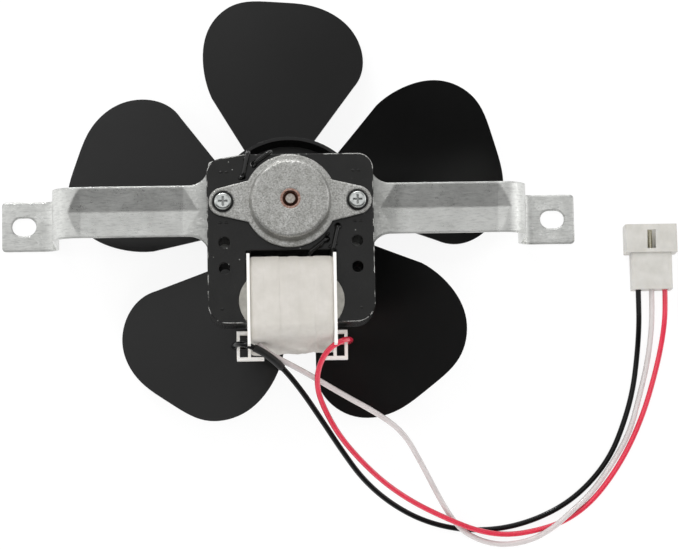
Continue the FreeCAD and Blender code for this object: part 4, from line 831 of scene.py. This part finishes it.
# x, y and z of each lead's bends in millimetres, from its terminal to the plug
BLACK_ROUTE = (
    (-21.9, -69.8, 56.7), (-28.9, -69.9, 56.9), (-29.0, -69.8, 70.0), (-24.4, -69.8, 77.8),
    (-15.6, -73.2, 77.2), (-6.0, -80.0, 70.5), (4.0, -91.5, 61.0), (13.7, -105.2, 50.9),
    (24.5, -120.9, 38.9), (35.1, -134.6, 26.0), (49.0, -146.1, 13.0), (66.3, -155.2, 3.9),
    (86.0, -160.0, 1.6), (106.0, -159.8, 1.6), (124.0, -155.2, 1.6), (140.0, -147.4, 1.6),
    (153.3, -136.2, 1.6), (163.8, -122.6, 1.6), (170.9, -106.2, 1.6), (176.0, -89.5, 1.6),
    (178.7, -71.0, 2.4), (179.7, -56.0, 5.6), (179.75, -44.0, 6.3),
)
WHITE_ROUTE = (
    (-16.6, -69.6, 74.0), (-12.7, -74.0, 71.6), (-4.2, -77.8, 66.6), (9.7, -84.6, 57.0),
    (26.0, -93.9, 49.5), (42.3, -102.4, 43.0), (56.0, -111.6, 32.0), (65.6, -127.3, 18.0),
    (73.3, -141.5, 9.0), (79.5, -152.2, 5.4), (86.0, -160.6, 5.0), (96.5, -166.0, 1.8),
    (108.0, -168.0, 1.6), (121.5, -165.8, 1.8), (132.5, -159.8, 4.9), (140.0, -153.4, 5.0),
    (152.5, -142.8, 1.8), (163.8, -127.8, 1.6), (173.5, -111.8, 1.6), (178.8, -94.3, 1.6),
    (183.5, -77.0, 2.2), (186.0, -60.0, 5.4), (186.65, -45.0, 6.3),
)
RED_ROUTE = (
    (21.9, -67.6, 56.7), (28.9, -67.7, 56.9), (29.0, -67.6, 70.0), (24.4, -68.8, 77.8),
    (17.0, -73.3, 75.8), (12.5, -81.5, 69.5), (11.8, -90.5, 61.0), (15.1, -99.8, 53.1),
    (22.3, -112.6, 45.1), (33.1, -124.8, 34.1), (45.8, -136.0, 21.0), (60.3, -145.5, 12.0),
    (77.3, -154.0, 9.3), (94.5, -161.0, 6.3), (110.0, -163.0, 1.8), (126.0, -160.5, 1.6),
    (139.8, -156.0, 1.6), (152.4, -147.2, 1.6), (163.7, -133.9, 1.6), (173.5, -118.2, 1.6),
    (181.4, -100.7, 1.6), (187.0, -83.5, 1.6), (191.0, -68.0, 2.6), (193.0, -55.0, 5.6),
    (193.55, -44.0, 6.3),
)


def smooth_line(name, route, step):
    """A lead's line as one smooth spline through its route's bends, seated in the plug."""
    curve = bpy.data.curves.new(name, "CURVE")
    curve.dimensions = "3D"
    curve.resolution_u = 8
    points = [tuple(value / 1000 for value in point) for point in route]
    points.append((PLUG_CENTRE + CONTACT_PITCH * step, LEAD_SEAT, LEAD_HEIGHT))
    spline = curve.splines.new("NURBS")
    spline.points.add(len(points) - 1)
    for point, spot in zip(spline.points, points):
        point.co = (*spot, 1.0)
    spline.order_u = 3
    spline.use_endpoint_u = True
    return curve


def lay_lead(name, route, step, material):
    """A lead with a round cover along its line."""
    curve = smooth_line(name, route, step)
    curve.bevel_depth = LEAD_DIAMETER / 2
    curve.bevel_resolution = 5
    curve.use_fill_caps = True
    lead = bpy.data.objects.new(name, curve)
    scene.collection.objects.link(lead)
    curve.materials.append(material)
    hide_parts(name.replace("_wire", "_lead"))
    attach(lead, "motor")


# A short sleeve of braided glass, soaked in black varnish, covers the black lead where it crosses
# the coil. It is slipped over the lead, and it is greyer and duller than the lead's own cover.
SLEEVE_START, SLEEVE_END = 0.031, 0.050
SLEEVE_RADIUS = 0.0019
SLEEVE_CLEARANCE = 0.00002
SLEEVE_AROUND = 20
line_object = bpy.data.objects.new("black_line", smooth_line("black_line", BLACK_ROUTE, -1))
line_mesh = bpy.data.meshes.new_from_object(line_object)
line = [point.co.copy() for point in line_mesh.vertices]
bpy.data.objects.remove(line_object)
covered, travelled = [], 0.0
for before, here in zip(line, line[1:]):
    travelled += (here - before).length
    if SLEEVE_START <= travelled <= SLEEVE_END:
        covered.append(here)
sleeve_form = bmesh.new()
sleeve_rings = []
for radius in (LEAD_DIAMETER / 2 + SLEEVE_CLEARANCE, SLEEVE_RADIUS):
    for index, here in enumerate(covered):
        ahead = (covered[min(index + 1, len(covered) - 1)] - covered[max(index - 1, 0)]).normalized()
        side = ahead.cross(Vector((0, 0, 1))).normalized()
        over = side.cross(ahead)
        angles = [2 * math.pi * step / SLEEVE_AROUND for step in range(SLEEVE_AROUND)]
        spots = [here + (side * math.cos(angle) + over * math.sin(angle)) * radius for angle in angles]
        sleeve_rings.append([sleeve_form.verts.new(spot) for spot in spots])
inside, outside = sleeve_rings[:len(covered)], sleeve_rings[len(covered):]
sleeve_loops = outside + inside[::-1] + [outside[0]]
for first, second in zip(sleeve_loops, sleeve_loops[1:]):
    for index in range(SLEEVE_AROUND):
        after = (index + 1) % SLEEVE_AROUND
        sleeve_form.faces.new((first[index], first[after], second[after], second[index]))
bmesh.ops.recalc_face_normals(sleeve_form, faces=sleeve_form.faces)
sleeve_mesh = bpy.data.meshes.new("black_sleeve")
sleeve_form.to_mesh(sleeve_mesh)
sleeve_form.free()
sleeve_mesh.shade_smooth()
sleeve_cover = make_finish(
    "black_fibreglass_sleeve", ("#101010", "#191919"), patch_mm=4.0, grain_mm=0.5, grain_depth_mm=0.02,
    roughness=0.5, roughness_spread=0.08, edge_mm=0.1)
sleeve_mesh.materials.append(sleeve_cover)
black_sleeve = bpy.data.objects.new("black_sleeve", sleeve_mesh)
scene.collection.objects.link(black_sleeve)
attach(black_sleeve, "motor")

# The covers are soft extruded vinyl. All are smooth, and the black one shows a thin highlight.
black_cover = make_finish(
    "black_lead_cover", ("#030303", "#060606"), patch_mm=12.0, grain_mm=0.6, grain_depth_mm=0.003,
    roughness=0.26, Coat_Weight=0.35, Coat_Roughness=0.05, Specular_IOR_Level=0.12)
# The white cover is pinkish and lets a little light through.
white_cover = make_finish(
    "white_lead_cover", ("#d3cbca", "#ddd6d5"), patch_mm=12.0, grain_mm=0.4, grain_depth_mm=0.006,
    roughness=0.26, Coat_Weight=0.5, Coat_Roughness=0.08, Subsurface_Weight=0.1, Subsurface_Scale=0.001,
    Subsurface_Radius=(1.0, 0.9, 0.9))
# The red cover is bright and a little pink, and the glossiest.
red_cover = make_finish(
    "red_lead_cover", ("#dc2643", "#e63350"), patch_mm=12.0, grain_mm=0.4, grain_depth_mm=0.006,
    roughness=0.24, Coat_Weight=0.8, Coat_Roughness=0.08, Subsurface_Weight=0.08, Subsurface_Scale=0.001)
lay_lead("black_wire", BLACK_ROUTE, -1, black_cover)
lay_lead("white_wire", WHITE_ROUTE, 0, white_cover)
lay_lead("red_wire", RED_ROUTE, 1, red_cover)


# The plug is a moulded nylon housing round three contacts that are crimped on the leads and clipped
# into it. It lies on the table at the leads' far end.

# Its nylon is a little yellow and cloudy, and soft light goes through its walls.
plug_nylon = make_finish(
    "cloudy_nylon", ("#c8c6c0", "#d4d2cd"), patch_mm=7.0, grain_mm=0.6, grain_depth_mm=0.01,
    roughness=0.4, edge_mm=0.4, Subsurface_Weight=0.25, Subsurface_Scale=0.003,
    Subsurface_Radius=(1.0, 0.9, 0.75))
dress(plug_nylon, "plug_housing")
# The contacts are brass with a bright tin plate that keeps a trace of yellow.
tinned = make_finish(
    "tinned_brass", ("#d3cfba", "#e6e3d2"), patch_mm=2.0, grain_mm=0.2, grain_depth_mm=0.006,
    roughness=0.3, edge_mm=0.1, Metallic=0.9)
dress(tinned, "plug_contact_left", "plug_contact_middle", "plug_contact_right")
